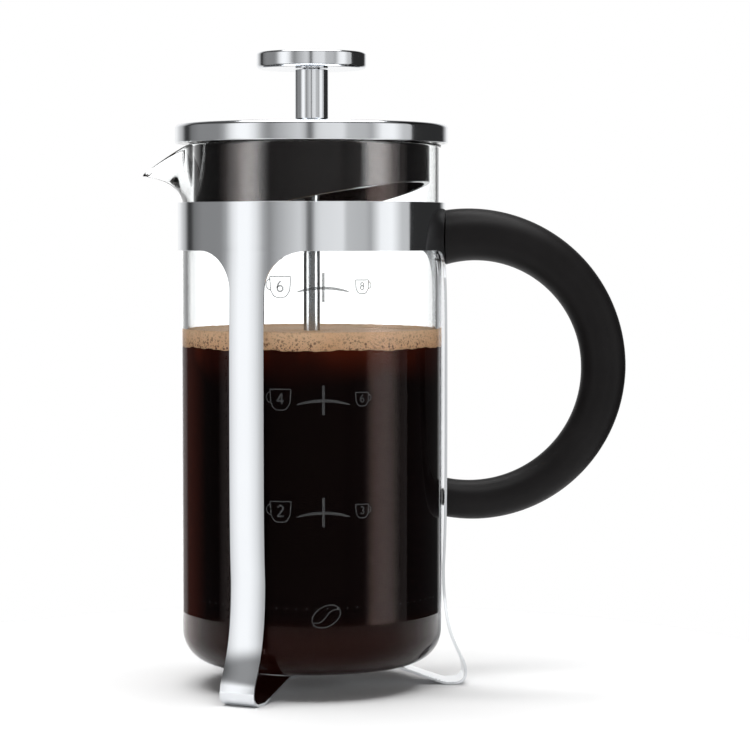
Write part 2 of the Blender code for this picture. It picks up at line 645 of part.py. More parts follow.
def make_filter():
    """The stack at the foot of the rod: washer, spring disc and its coiled edge, mesh, cross plate, nut."""
    bore = THREAD_RADIUS + GAP
    edge = GLASS_INSIDE - FILTER_PLAY - 2 * SPRING_RADIUS

    def flat(name, outer, sheet, bottom):
        return ring(name, bore, outer, sheet, brushed, plunger_axis, bottom, FILTER_STEPS)

    at = FILTER_HEIGHT + DISC_SHEET + GAP
    ring("rod_washer", bore, WASHER_RADIUS, WASHER_HEIGHT, brushed, plunger_axis, at)

    disc = flat("spring_disc", edge - GAP, DISC_SHEET, FILTER_HEIGHT)
    middle = (edge + WASHER_RADIUS) / 2
    holes = solid_cylinders(
        "disc_holes",
        plunger_axis,
        DISC_HOLE_RADIUS,
        10 * DISC_SHEET,
        around(DISC_HOLE_COUNT, middle, FILTER_HEIGHT),
        12,
    )
    boolean(disc, make_cutter(holes))

    coil = arc((edge + SPRING_RADIUS, 0.0), SPRING_RADIUS, 0, -360, 6)[:-1]
    smooth(turned("edge_spring", coil, steel, plunger_axis, FILTER_HEIGHT + SPRING_RADIUS, FILTER_STEPS))

    mesh_top = FILTER_HEIGHT - GAP
    flat("mesh_filter", edge + SPRING_RADIUS, MESH_SHEET, mesh_top - MESH_SHEET)

    # The cross plate: a rim and a hub joined by four arms, cut as four sectors.
    plate_top = mesh_top - MESH_SHEET - GAP
    plate = flat("cross_plate", edge, DISC_SHEET, plate_top - DISC_SHEET)
    outside = edge - CROSS_RIM_WIDTH
    half = CROSS_ARM_WIDTH / 2
    for i in range(4):
        window = [(half, half + 6 * MM), (half + 6 * MM, half)]
        start = math.degrees(math.asin(half / outside))
        window += arc((0.0, 0.0), outside, start, 90 - start, 8)
        curve = bpy.data.curves.new(f"window_{i + 1}", "CURVE")
        curve.dimensions = "2D"
        curve.fill_mode = "BOTH"
        curve.extrude = 5 * DISC_SHEET
        spline = curve.splines.new("POLY")
        spline.points.add(len(window) - 1)
        for point, (x, y) in zip(spline.points, window):
            point.co = (x, y, 0.0, 1.0)
        spline.use_cyclic_u = True
        cutter = add_object(curve.name, curve, plunger_axis, None, (0.0, 0.0, plate_top))
        cutter.rotation_euler = (0.0, 0.0, i * math.pi / 2)
        boolean(plate, make_cutter(as_mesh(cutter)))

    nut = plate_top - DISC_SHEET - GAP - HUB_NUT_HEIGHT
    boss = [(bore, 0.0), (bore, HUB_NUT_HEIGHT), (HUB_NUT_RADIUS, HUB_NUT_HEIGHT)]
    boss += [(HUB_NUT_RADIUS, TURNED_CHAMFER), (HUB_NUT_RADIUS - TURNED_CHAMFER, 0.0)]
    smooth(turned("hub_nut", boss, brushed, plunger_axis, nut))


# ---- The press -----------------------------------------------------------------------------------

clear_scene()
press = new_collection("french_press")
cutters = new_collection("cutters")
steel = new_material("polished_steel", (0.72, 0.73, 0.74), 0.12, 1.0)
brushed = new_material("satin_steel", (0.60, 0.61, 0.62), 0.32, 1.0)
brass = new_material("brass", (0.70, 0.52, 0.24), 0.30, 1.0)
black = new_material("black_plastic", (0.012, 0.012, 0.013), 0.38)
glass = new_material("clear_glass", (0.95, 0.97, 0.97), 0.02, 0.0, 1.0)

axis = add_empty("press_axis", None, (AXIS_X, 0.0, 0.0))
guide_axis = add_empty("guide_axis", axis, (0.0, 0.0, 0.0))
lid_axis = add_empty("lid_axis", axis, (0.0, 0.0, 0.0))
plunger_axis = add_empty("plunger_axis", axis, (0.0, 0.0, 0.0))

make_frame()
make_handle()
make_beaker()
make_lid()
make_guide()
make_knob_and_rod()
make_filter()
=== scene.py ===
"""French press: the finished surfaces and materials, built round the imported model."""

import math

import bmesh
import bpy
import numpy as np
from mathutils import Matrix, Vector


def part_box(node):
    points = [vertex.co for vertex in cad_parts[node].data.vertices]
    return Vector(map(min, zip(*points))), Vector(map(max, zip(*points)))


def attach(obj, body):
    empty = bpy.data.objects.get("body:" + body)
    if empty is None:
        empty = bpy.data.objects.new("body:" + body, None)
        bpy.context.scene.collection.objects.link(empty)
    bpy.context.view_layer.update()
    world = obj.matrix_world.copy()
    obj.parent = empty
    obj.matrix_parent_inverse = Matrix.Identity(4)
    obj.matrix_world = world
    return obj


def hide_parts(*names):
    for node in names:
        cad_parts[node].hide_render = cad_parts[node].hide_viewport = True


bl_info = {
    "name": "French Press",
    "version": (1, 0, 0),
    "blender": (4, 5, 0),
    "location": "View3D > Sidebar > Press",
    "description": "Builds a french press: glass beaker, steel stand, lid, plunger, coffee and a studio",
    "category": "Add Mesh",
}

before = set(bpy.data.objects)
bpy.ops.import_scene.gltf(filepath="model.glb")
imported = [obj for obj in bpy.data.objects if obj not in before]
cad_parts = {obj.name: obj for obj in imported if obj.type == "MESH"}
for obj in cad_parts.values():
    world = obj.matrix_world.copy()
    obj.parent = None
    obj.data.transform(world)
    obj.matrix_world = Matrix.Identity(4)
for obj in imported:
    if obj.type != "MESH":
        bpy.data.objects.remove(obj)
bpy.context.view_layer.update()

MM = 0.001
TAU = 2 * math.pi


# ---- Places read from the frame ------------------------------------------------------------------


def span(node, along):
    """The lowest and highest value of a node's box along one axis."""
    low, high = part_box(node)
    return low[along], high[along]


AXIS_X = sum(span("knob", 0)) / 2
GLASS_BOTTOM, RIM = span("beaker", 2)
GLASS_RADIUS = span("beaker", 1)[1]
SPOUT_TIP = span("beaker", 0)[0] - AXIS_X
BAND_TOP = span("frame", 2)[1]
TOE_REACH = span("frame", 0)[1] - AXIS_X
PLATE_LOW, PLATE_TOP = span("base_plate", 2)
PLATE_RADIUS = span("base_plate", 1)[1]
CAP_LOW, CAP_TOP = span("lid_cap", 2)
CAP_RADIUS = span("lid_cap", 1)[1]
PLUG_TOP = span("lid_plug", 2)[1]
BUSH_LOW, BUSH_TOP = span("lid_bush", 2)
NUT_LOW, NUT_TOP = span("lid_nut", 2)
KNOB_LOW, KNOB_TOP = span("knob", 2)
KNOB_RADIUS = span("knob", 1)[1]
NECK_LOW, NECK_TOP = span("knob_sleeve", 2)
NECK_RADIUS = span("knob_sleeve", 1)[1]
ROD_LOW, ROD_TOP = span("plunger_rod", 2)
ROD_RADIUS = span("plunger_rod", 1)[1]
WASHER_LOW, WASHER_TOP = span("rod_washer", 2)
DISC_LOW, DISC_TOP = span("spring_disc", 2)
DISC_RADIUS = span("spring_disc", 1)[1]
WEAVE_LOW, WEAVE_TOP = span("mesh_filter", 2)
WEAVE_RADIUS = span("mesh_filter", 1)[1]
CROSS_LOW, CROSS_TOP = span("cross_plate", 2)
CROSS_RADIUS = span("cross_plate", 1)[1]
BOSS_LOW, BOSS_TOP = span("hub_nut", 2)
HANDLE_OUTSIDE = span("handle", 0)[1]
PEG_Z = sum(span("handle_peg", 2)) / 2
SCREW_Z = sum(span("handle_screw", 2)) / 2
SCREW_HEAD_X = span("handle_screw", 0)[0] - AXIS_X

# Sizes that the boxes don't give
GLASS_WALL = 2.3 * MM
GLASS_FLOOR = 3.0 * MM
GLASS_CORNER = 12.5 * MM
SPOUT_DROP = 11.0 * MM
SPOUT_HALF_ANGLE = math.radians(23.0)
SHEET = 1.0 * MM
GAP = 0.3 * MM
BAND_HEIGHT = 18.2 * MM
LEG_WIDTH = 14.4 * MM
LEG_FILLET = 15.0 * MM
LEG_BOW = 0.9 * MM
TOE_HEIGHT = 45.0 * MM
TOE_RADIUS = 4.2 * MM
SOLE_FLAT = 3.2 * MM
HEEL_RADIUS = 6.0 * MM
ARCH_SLOPE = math.radians(19.3)
ARCH_RISE = 6.6 * MM
STRIP_END = 14.0 * MM
RIVET_CIRCLE = 21.0 * MM
HANDLE_TOP_THICKNESS = 20.6 * MM
HANDLE_MIDDLE_THICKNESS = 17.3 * MM
HANDLE_FOOT_THICKNESS = 14.8 * MM
PLUG_WALL = 2.2 * MM
PLUG_LEVEL = 24.0 * MM
PLUG_SLOPE = 0.214
PLUG_HIGH_SIDE = math.radians(-25.0)
LID_PLAY = 2.4 * MM
HUB_RADIUS = 9.0 * MM
HUB_HEIGHT = 4.0 * MM
BUSH_RADIUS = 5.0 * MM
BUSH_FLANGE_RADIUS = 6.2 * MM
NUT_ACROSS_CORNERS = 15.0 * MM
THREAD_RADIUS = 2.4 * MM
DISC_HOLES = 8
DISC_HOLE_RADIUS = 5.5 * MM
CROSS_ARM_WIDTH = 9.0 * MM
CROSS_RIM_WIDTH = 5.0 * MM

GLASS_INSIDE = GLASS_RADIUS - GLASS_WALL
BAND_BOTTOM = BAND_TOP - BAND_HEIGHT
BAND_OUTSIDE = GLASS_RADIUS + GAP + SHEET
PLUG_RADIUS = GLASS_INSIDE - LID_PLAY
FLANGE_BOTTOM = RIM + GAP
SPOUT_ROOT = BAND_TOP + GAP
LEG_TURNS = [TAU * i / 3 for i in range(3)]
CAMERA_SIDE = -92.1  # direction of the camera from the axis, in degrees
CAMERA_AWAY = 1.008
CAMERA_HEIGHT = 0.1732
CAMERA_DIP = 3.06  # degrees below level
CAMERA_TURN = 1.38  # degrees past the axis
CAMERA_LENS = 125.8
FLOOR_RADIUS = 0.21
MARKS_SIDE = math.radians(-87.3)  # direction of the cup marks from the axis
# Height of each mark, and its large and small cups
MARK_LEVELS = ((153.8 * MM, "6", "8"), (112.5 * MM, "4", "6"), (71.2 * MM, "2", "3"))
BEAN_PLACE = (1.0 * MM, 33.0 * MM)  # sideways from the marks' middle, and up


# ---- Shapes --------------------------------------------------------------------------------------


def rounded(corners, steps=5):
    """An outline through (radius, height, rounding) corners.

    Each corner with a rounding becomes a circle's arc that touches both sides, written as a rational
    quadratic whose middle weight is the cosine of half the turn. A point just outside each end of
    the arc keeps the straight sides flat when they are shaded smooth.
    """
    points = []
    last = len(corners) - 1
    for i, (r, z, size) in enumerate(corners):
        here = np.array([r, z])
        if size <= 0 or i in (0, last):
            points.append(here[None])
            continue
        back = np.array(corners[i - 1][:2]) - here
        ahead = np.array(corners[i + 1][:2]) - here
        to_back, to_ahead = np.linalg.norm(back), np.linalg.norm(ahead)
        back, ahead = back / to_back, ahead / to_ahead
        half = (math.pi - math.acos(np.clip(back @ ahead, -1, 1))) / 2
        reach = min(size * math.tan(half), 0.44 * to_back, 0.44 * to_ahead)
        s = np.linspace(0, 1, steps + 1)[:, None]
        weight = math.cos(half)
        low, high = here + back * reach, here + ahead * reach
        top = (1 - s) ** 2 * low + 2 * s * (1 - s) * weight * here + s**2 * high
        curve = top / ((1 - s) ** 2 + 2 * s * (1 - s) * weight + s**2)
        hold = 0.12 * reach
        points += [(low + back * hold)[None], curve, (high + ahead * hold)[None]]
    return np.concatenate(points)


def grid_faces(rows, columns, wrap_rows, wrap_columns):
    """Quads over a grid of points, each turning from down the rows to along the columns."""
    i = np.arange(rows if wrap_rows else rows - 1)
    j = np.arange(columns if wrap_columns else columns - 1)
    i, j = (a.ravel() for a in np.meshgrid(i, j, indexing="ij"))
    down, along = (i + 1) % rows, (j + 1) % columns
    return np.stack([i * columns + j, down * columns + j, down * columns + along, i * columns + along], 1)


def mesh_object(name, parts):
    """One mesh object from (points, faces) pairs, with doubles merged and normals made to point out."""
    points = np.concatenate([p.reshape(-1, 3) for p, _ in parts]).astype(np.float32)
    starts = np.cumsum([0] + [p.size // 3 for p, _ in parts])
    faces = np.concatenate([f + start for (_, f), start in zip(parts, starts)])
    mesh = bpy.data.meshes.new(name)
    mesh.vertices.add(len(points))
    mesh.vertices.foreach_set("co", points.ravel())
    mesh.loops.add(faces.size)
    mesh.loops.foreach_set("vertex_index", faces.ravel().astype(np.int32))
    mesh.polygons.add(len(faces))
    mesh.polygons.foreach_set("loop_start", np.arange(0, faces.size, 4, dtype=np.int32))
    mesh.update(calc_edges=True)
    mesh.validate()
    cage = bmesh.new()
    cage.from_mesh(mesh)
    bmesh.ops.remove_doubles(cage, verts=cage.verts, dist=1e-7)
    bmesh.ops.dissolve_degenerate(cage, edges=cage.edges, dist=1e-8)
    bmesh.ops.recalc_face_normals(cage, faces=cage.faces)
    cage.to_mesh(mesh)
    cage.free()
    mesh.shade_smooth()
    made = bpy.data.objects.new(name, mesh)
    bpy.context.scene.collection.objects.link(made)
    return made


def turned_grid(outline, angles, centre=(AXIS_X, 0.0)):
    """Points of an outline of (radius, height) turned about an upright line at each angle."""
    r, z = outline[:, 0][:, None], outline[:, 1][:, None]
    x = centre[0] + r * np.cos(angles)[None]
    y = centre[1] + r * np.sin(angles)[None]
    return np.stack([x, y, np.broadcast_to(z, x.shape)], 2)


def turned(name, outline, columns=128, closed=True, centre=(AXIS_X, 0.0)):
    """A solid turned about an upright line: each point of its outline goes round a circle.

    A closed outline makes a ring. One that isn't closed starts and ends on the line itself.
    """
    grid = turned_grid(np.asarray(outline), np.linspace(0, TAU, columns, endpoint=False), centre)
    return mesh_object(name, [(grid, grid_faces(len(grid), columns, closed, True))])


def lay_along_x(piece, x, z):
    """Turns a piece made about the upright line through the origin so that its top points to +X."""
    points = np.empty(len(piece.data.vertices) * 3, np.float32)
    piece.data.vertices.foreach_get("co", points)
    points = points.reshape(-1, 3)
    moved = np.stack([points[:, 2] + x, points[:, 1], z - points[:, 0]], 1)
    piece.data.vertices.foreach_set("co", moved.ravel())
    piece.data.update()
    return piece


def soften(piece, width, segments=3, angle=40.0):
    """A Bevel on the edges that turn by more than an angle in degrees, with the flats kept flat."""
    made = piece.modifiers.new("softened_edges", "BEVEL")
    made.width = width
    made.segments = segments
    made.limit_method = "ANGLE"
    made.angle_limit = math.radians(angle)
    made.harden_normals = True
    made.use_clamp_overlap = True


def thicken(piece, thickness, offset=-1.0):
    """A Solidify that gives an open sheet its thickness behind its faces."""
    made = piece.modifiers.new("thickness", "SOLIDIFY")
    made.thickness = thickness
    made.offset = offset
    made.use_even_offset = True


def dress(piece, material, body, slot, *replaced):
    """Gives a piece its material, the body it moves with and the CAD nodes it stands for; the slot is not
    used.
    """
    piece.data.materials.clear()
    piece.data.materials.append(material)
    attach(piece, body)
    if replaced:
        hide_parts(*replaced)
    return piece


# ---- Nodes ---------------------------------------------------------------------------------------


def add_node(tree, kind, inputs=None, **settings):
    """A node with its settings, and each input either linked to a socket or set to a value."""
    made = tree.nodes.new(kind)
    for key, value in settings.items():
        setattr(made, key, value)
    for key, value in (inputs or {}).items():
        if isinstance(value, bpy.types.NodeSocket):
            tree.links.new(value, made.inputs[key])
        else:
            made.inputs[key].default_value = value
    return made


def maths(tree, operation, *values, clamp=False):
    """The result of one Math node."""
    made = add_node(tree, "ShaderNodeMath", dict(enumerate(values)), operation=operation, use_clamp=clamp)
    return made.outputs[0]


def blend_colours(tree, factor, first, second):
    """The result of one Mix node on two colours."""
    made = add_node(tree, "ShaderNodeMix", data_type="RGBA")
    for socket, value in ((made.inputs[0], factor), (made.inputs[6], first), (made.inputs[7], second)):
        if isinstance(value, bpy.types.NodeSocket):
            tree.links.new(value, socket)
        else:
            socket.default_value = value
    return made.outputs[2]


def spread(tree, value, low, high, to_low, to_high):
    """A value mapped smoothly from one range to another."""
    made = add_node(
        tree,
        "ShaderNodeMapRange",
        {0: value, 1: low, 2: high, 3: to_low, 4: to_high},
        interpolation_type="SMOOTHSTEP",
    )
    return made.outputs[0]


def new_group(name, inputs, outputs):
    """An empty node group with float inputs and named outputs. Returns it and its two ends."""
    tree = bpy.data.node_groups.new(name, "ShaderNodeTree")
    for label, default in inputs.items():
        made = tree.interface.new_socket(name=label, in_out="INPUT", socket_type="NodeSocketFloat")
        made.default_value = default
    for label in outputs:
        tree.interface.new_socket(name=label, in_out="OUTPUT", socket_type="NodeSocketFloat")
    return tree, tree.nodes.new("NodeGroupInput"), tree.nodes.new("NodeGroupOutput")


def from_axis(tree):
    """Object coordinates counted from the beaker's axis."""
    place = add_node(tree, "ShaderNodeTexCoord").outputs["Object"]
    return add_node(tree, "ShaderNodeMapping", {"Vector": place, "Location": (-AXIS_X, 0, 0)}).outputs[0]


def scaled_place(tree, across, up):
    """Object coordinates from the axis, scaled level and upright by two values."""
    x, y, z = (add_node(tree, "ShaderNodeSeparateXYZ", {0: from_axis(tree)}).outputs[i] for i in range(3))
    parts = {0: maths(tree, "MULTIPLY", x, across), 1: maths(tree, "MULTIPLY", y, across)}
    parts[2] = maths(tree, "MULTIPLY", z, up)
    return add_node(tree, "ShaderNodeCombineXYZ", parts).outputs[0]


def cloud_noise(tree, across, up, detail):
    """Soft noise about the axis, with its own fineness level and upright."""
    made = add_node(tree, "ShaderNodeTexNoise", {"Vector": scaled_place(tree, across, up)})
    made.inputs["Scale"].default_value = 1.0
    made.inputs["Detail"].default_value = detail
    return made.outputs["Fac"]


def polish_group():
    """Polishing lines that run up the sheet, and the roughness that they and faint smears give it."""
    tree, start, end = new_group(
        "polish_lines", {"Fineness": 2600.0, "Calm": 0.08, "Rough": 0.2}, ("Roughness", "Height")
    )
    lines = cloud_noise(tree, start.outputs["Fineness"], 45.0, 3.0)
    worn = spread(tree, cloud_noise(tree, 38.0, 22.0, 2.0), 0.42, 0.72, 0.0, 0.55)
    mixed = maths(tree, "ADD", worn, maths(tree, "MULTIPLY", lines, 0.45), clamp=True)
    width = maths(tree, "SUBTRACT", start.outputs["Rough"], start.outputs["Calm"])
    rough = maths(tree, "ADD", maths(tree, "MULTIPLY", mixed, width), start.outputs["Calm"])
    tree.links.new(rough, end.inputs["Roughness"])
    tree.links.new(lines, end.inputs["Height"])
    return tree


def lathe_group():
    """Fine circular lines round the axis, as turning leaves them, with the roughness that they give."""
    tree, start, end = new_group(
        "lathe_lines", {"Fineness": 5200.0, "Calm": 0.1, "Rough": 0.24}, ("Roughness", "Height")
    )
    split = add_node(tree, "ShaderNodeSeparateXYZ", {0: from_axis(tree)})
    flat = add_node(tree, "ShaderNodeCombineXYZ", {0: split.outputs[0], 1: split.outputs[1]})
    out = add_node(tree, "ShaderNodeVectorMath", {0: flat.outputs[0]}, operation="LENGTH").outputs["Value"]
    rings = {0: maths(tree, "MULTIPLY", out, start.outputs["Fineness"])}
    rings[1] = maths(tree, "MULTIPLY", split.outputs[2], start.outputs["Fineness"])
    place = add_node(tree, "ShaderNodeCombineXYZ", rings).outputs[0]
    lines = add_node(tree, "ShaderNodeTexNoise", {"Vector": place, "Scale": 1.0, "Detail": 2.0})
    width = maths(tree, "SUBTRACT", start.outputs["Rough"], start.outputs["Calm"])
    shade = maths(tree, "MULTIPLY", lines.outputs["Fac"], width)
    tree.links.new(maths(tree, "ADD", shade, start.outputs["Calm"]), end.inputs["Roughness"])
    tree.links.new(lines.outputs["Fac"], end.inputs["Height"])
    return tree


def grain_group():
    """The even pebble grain of a moulded surface, with a roughness that wanders a little."""
    tree, start, end = new_group(
        "mould_grain", {"Pitch": 2200.0, "Calm": 0.34, "Rough": 0.46}, ("Roughness", "Height")
    )
    place = add_node(tree, "ShaderNodeTexCoord").outputs["Object"]
    cells = add_node(tree, "ShaderNodeTexVoronoi", {"Vector": place, "Scale": start.outputs["Pitch"]})
    wander = add_node(tree, "ShaderNodeTexNoise", {"Vector": place, "Scale": 60.0, "Detail": 4.0})
    width = maths(tree, "SUBTRACT", start.outputs["Rough"], start.outputs["Calm"])
    shade = maths(tree, "MULTIPLY", wander.outputs["Fac"], width)
    tree.links.new(maths(tree, "ADD", shade, start.outputs["Calm"]), end.inputs["Roughness"])
    tree.links.new(cells.outputs["Distance"], end.inputs["Height"])
    return tree


def weave_group():
    """Crossed wires: two waves at right angles whose crests pass over and under each other by turns."""
    tree, start, end = new_group("wire_weave", {"Pitch": 0.0004}, ("Wire", "Height"))
    split = add_node(tree, "ShaderNodeSeparateXYZ", {0: from_axis(tree)})
    turns = [maths(tree, "DIVIDE", split.outputs[i], start.outputs["Pitch"]) for i in (0, 1)]
    waves = [maths(tree, "SINE", maths(tree, "MULTIPLY", t, TAU)) for t in turns]
    halves = [maths(tree, "SINE", maths(tree, "MULTIPLY", t, math.pi)) for t in turns]
    over = maths(tree, "MULTIPLY", halves[0], halves[1])
    crest = maths(tree, "MAXIMUM", waves[0], waves[1])
    tree.links.new(maths(tree, "MULTIPLY_ADD", crest, 0.5, 0.5, clamp=True), end.inputs["Wire"])
    tree.links.new(maths(tree, "ADD", crest, over), end.inputs["Height"])
    return tree


def bubble_group():
    """Bubbles of two sizes: a dot in the middle of a cell, which only some of the cells have."""
    tree, start, end = new_group(
        "foam_bubbles", {"Coarse": 760.0, "Fine": 1700.0}, ("Large", "Small", "Height")
    )
    place = add_node(tree, "ShaderNodeTexCoord").outputs["Object"]
    outputs = []
    for label in ("Coarse", "Fine"):
        cells = add_node(
            tree, "ShaderNodeTexVoronoi", {"Vector": place, "Scale": start.outputs[label], "Randomness": 1.0}
        )
        pick = add_node(tree, "ShaderNodeSeparateColor", {0: cells.outputs["Color"]}).outputs[0]
        dot = spread(tree, cells.outputs["Distance"], 0.25, 0.5, 1.0, 0.0)
        outputs.append(maths(tree, "MULTIPLY", dot, spread(tree, pick, 0.3, 0.6, 0.0, 1.0)))
    tree.links.new(outputs[0], end.inputs["Large"])
    tree.links.new(outputs[1], end.inputs["Small"])
    small = maths(tree, "MULTIPLY", outputs[1], 0.5)
    tree.links.new(maths(tree, "ADD", outputs[0], small), end.inputs["Height"])
    return tree


def use_group(tree, group, **inputs):
    """A node that runs a shared group with its own values."""
    made = tree.nodes.new("ShaderNodeGroup")
    made.node_tree = group
    for label, value in inputs.items():
        made.inputs[label].default_value = value
    return made


def new_material(name):
    """A new material, with its tree and its Principled node."""
    made = bpy.data.materials.new(name)
    made.use_nodes = True
    return made, made.node_tree, made.node_tree.nodes["Principled BSDF"]


def bump(tree, shader, height, strength, distance):
    """A Bump node that feeds the shader's normal."""
    made = add_node(tree, "ShaderNodeBump", {"Height": height, "Strength": strength, "Distance": distance})
    tree.links.new(made.outputs[0], shader.inputs["Normal"])


def metal(name, group, colour, strength, **values):
    """A bare metal whose roughness and fine lines come from a shared group."""
    made, tree, shader = new_material(name)
    shader.inputs["Metallic"].default_value = 1.0
    lines = use_group(tree, group, **values)
    tint = add_node(tree, "ShaderNodeHueSaturation", {"Color": (*colour, 1.0)})
    tree.links.new(spread(tree, lines.outputs["Roughness"], 0.0, 0.5, 1.02, 0.94), tint.inputs["Value"])
    tree.links.new(tint.outputs[0], shader.inputs["Base Color"])
    tree.links.new(lines.outputs["Roughness"], shader.inputs["Roughness"])
    bump(tree, shader, lines.outputs["Height"], strength, 0.00002)
    return made


def moulded_plastic(name, colour, pitch, calm, rough, strength, gloss):
    """A dark moulded plastic with a pebble grain."""
    made, tree, shader = new_material(name)
    shader.inputs["Specular IOR Level"].default_value = gloss
    grain = use_group(tree, GROUPS["grain"], Pitch=pitch, Calm=calm, Rough=rough)
    lighter = tuple(min(1.0, c * 1.5 + 0.002) for c in colour)
    shade = spread(tree, grain.outputs["Roughness"], calm, rough, 0.0, 1.0)
    tree.links.new(blend_colours(tree, shade, (*colour, 1.0), (*lighter, 1.0)), shader.inputs["Base Color"])
    tree.links.new(grain.outputs["Roughness"], shader.inputs["Roughness"])
    bump(tree, shader, grain.outputs["Height"], strength, 0.00004)
    return made


def clear_glass():
    """Clear glass, faintly cool, with what it mirrors face on turned down so the coffee stays dark."""
    made, _, shader = new_material("blown_glass")
    shader.inputs["Base Color"].default_value = (0.985, 0.992, 0.992, 1.0)
    shader.inputs["Roughness"].default_value = 0.0
    shader.inputs["IOR"].default_value = bpy.context.scene.press_finish.glass_bend
    shader.inputs["Transmission Weight"].default_value = 1.0
    shader.inputs["Specular Tint"].default_value = (0.23, 0.165, 0.15, 1.0)
    return made


def woven_steel():
    """Steel wire cloth: bright crests, with painted shade in the dark gaps between them."""
    made, tree, shader = new_material("wire_cloth")
    shader.inputs["Metallic"].default_value = 1.0
    weave = use_group(tree, GROUPS["weave"], Pitch=0.0007)
    # Painted shade: the gaps between the wires are painted near black.
    colour = blend_colours(tree, weave.outputs["Wire"], (0.05, 0.05, 0.05, 1.0), (0.62, 0.63, 0.64, 1.0))
    tree.links.new(colour, shader.inputs["Base Color"])
    tree.links.new(spread(tree, weave.outputs["Wire"], 0.0, 1.0, 0.6, 0.25), shader.inputs["Roughness"])
    bump(tree, shader, weave.outputs["Height"], 0.8, 0.0001)
    return made


def coffee_material(sizes, finish):
    """Coffee: almost black, with painted light: redder close under the foam and on the side that
    the light reaches.

    The light that wanders through it is painted as a faint glow of its own.
    """
    made, tree, shader = new_material("coffee")
    split = add_node(tree, "ShaderNodeSeparateXYZ", {0: from_axis(tree)})
    top = GLASS_BOTTOM + sizes.fill_level - sizes.foam_depth
    drift = cloud_noise(tree, 55.0, 20.0, 3.0)
    depth = maths(tree, "SUBTRACT", top, split.outputs[2])
    wavy = maths(tree, "MULTIPLY_ADD", drift, 0.016, maths(tree, "SUBTRACT", depth, 0.008))
    patchy = spread(tree, drift, 0.4, 0.62, 0.25, 1.0)
    # Painted light: redder just under the foam, where light from above would get in.
    glow_under_foam = maths(tree, "MULTIPLY", spread(tree, wavy, -0.004, 0.014, 1.0, 0.0), patchy)
    # Painted light: the -X side near the glass glows, as if light came through it from behind.
    side = spread(tree, split.outputs[0], -0.0485, -0.039, 0.6, 0.0)
    glow = maths(tree, "MAXIMUM", maths(tree, "MULTIPLY", glow_under_foam, 0.9), side)
    # Painted glow: faint below the filter disc too.
    low = spread(tree, split.outputs[2], DISC_LOW - 0.012, DISC_LOW, 0.08, 0.0)
    glow = maths(tree, "MAXIMUM", glow, low)
    colour = blend_colours(tree, glow, (*finish.coffee, 1.0), (*finish.coffee_glow, 1.0))
    # Painted light: the glow colour goes partly into the base colour and wholly into the emission, so the
    # coffee glows though it is no lamp.
    tree.links.new(blend_colours(tree, 0.7, colour, (*finish.coffee, 1.0)), shader.inputs["Base Color"])
    tree.links.new(colour, shader.inputs["Emission Color"])
    shader.inputs["Emission Strength"].default_value = 0.4
    shader.inputs["Roughness"].default_value = 0.3
    shader.inputs["Specular IOR Level"].default_value = 0.0
    return made


def foam_material(sizes, finish):
    """Foam: tan, with brown bubbles that crowd towards its lower edge.

    Light spreads through foam, so part of its brightness is painted as a faint glow of its own;
    the painted glow also brightens its top where the lid shades it.
    """
    made, tree, shader = new_material("coffee_foam")
    bubbles = use_group(tree, GROUPS["bubbles"])
    height = add_node(tree, "ShaderNodeSeparateXYZ", {0: from_axis(tree)}).outputs[2]
    top = GLASS_BOTTOM + sizes.fill_level
    deep = spread(tree, height, top - sizes.foam_depth, top, 1.0, 0.25)
    cloud = cloud_noise(tree, 90.0, 90.0, 5.0)
    crowd = maths(tree, "MULTIPLY", deep, spread(tree, cloud, 0.36, 0.55, 0.5, 1.0))
    dots = maths(tree, "MAXIMUM", bubbles.outputs["Large"], bubbles.outputs["Small"])
    pale = blend_colours(tree, cloud, (*finish.foam, 1.0), (0.92, 0.68, 0.46, 1.0))
    shaded = blend_colours(tree, maths(tree, "MULTIPLY", deep, 0.45), pale, (0.50, 0.24, 0.10, 1.0))
    spotted = blend_colours(tree, maths(tree, "MULTIPLY", dots, crowd), shaded, (0.10, 0.03, 0.012, 1.0))
    # Painted light: the base colour is dimmed by 30 per cent and the colour is given again as emission, so
    # the foam glows though it is no lamp.
    tree.links.new(blend_colours(tree, 0.3, spotted, (0.0, 0.0, 0.0, 1.0)), shader.inputs["Base Color"])
    tree.links.new(spotted, shader.inputs["Emission Color"])
    shader.inputs["Emission Strength"].default_value = 0.28
    shader.inputs["Roughness"].default_value = 0.55
    shader.inputs["Subsurface Weight"].default_value = 0.15
    shader.inputs["Subsurface Radius"].default_value = (0.002, 0.001, 0.0006)
    bump(tree, shader, bubbles.outputs["Height"], 0.5, 0.0004)
    return made


def print_material(finish):
    """The grey ceramic print of the cup marks, slightly uneven."""
    made, tree, shader = new_material("fired_print")
    speck = cloud_noise(tree, 2400.0, 2400.0, 2.0)
    dim = tuple(0.8 * c for c in finish.marks)
    grey = blend_colours(tree, speck, (*dim, 1.0), (*finish.marks, 1.0))
    tree.links.new(grey, shader.inputs["Base Color"])
    shader.inputs["Roughness"].default_value = 0.5
    shader.inputs["Alpha"].default_value = 0.5
    return made


GROUPS = {}
FINISHES = {}


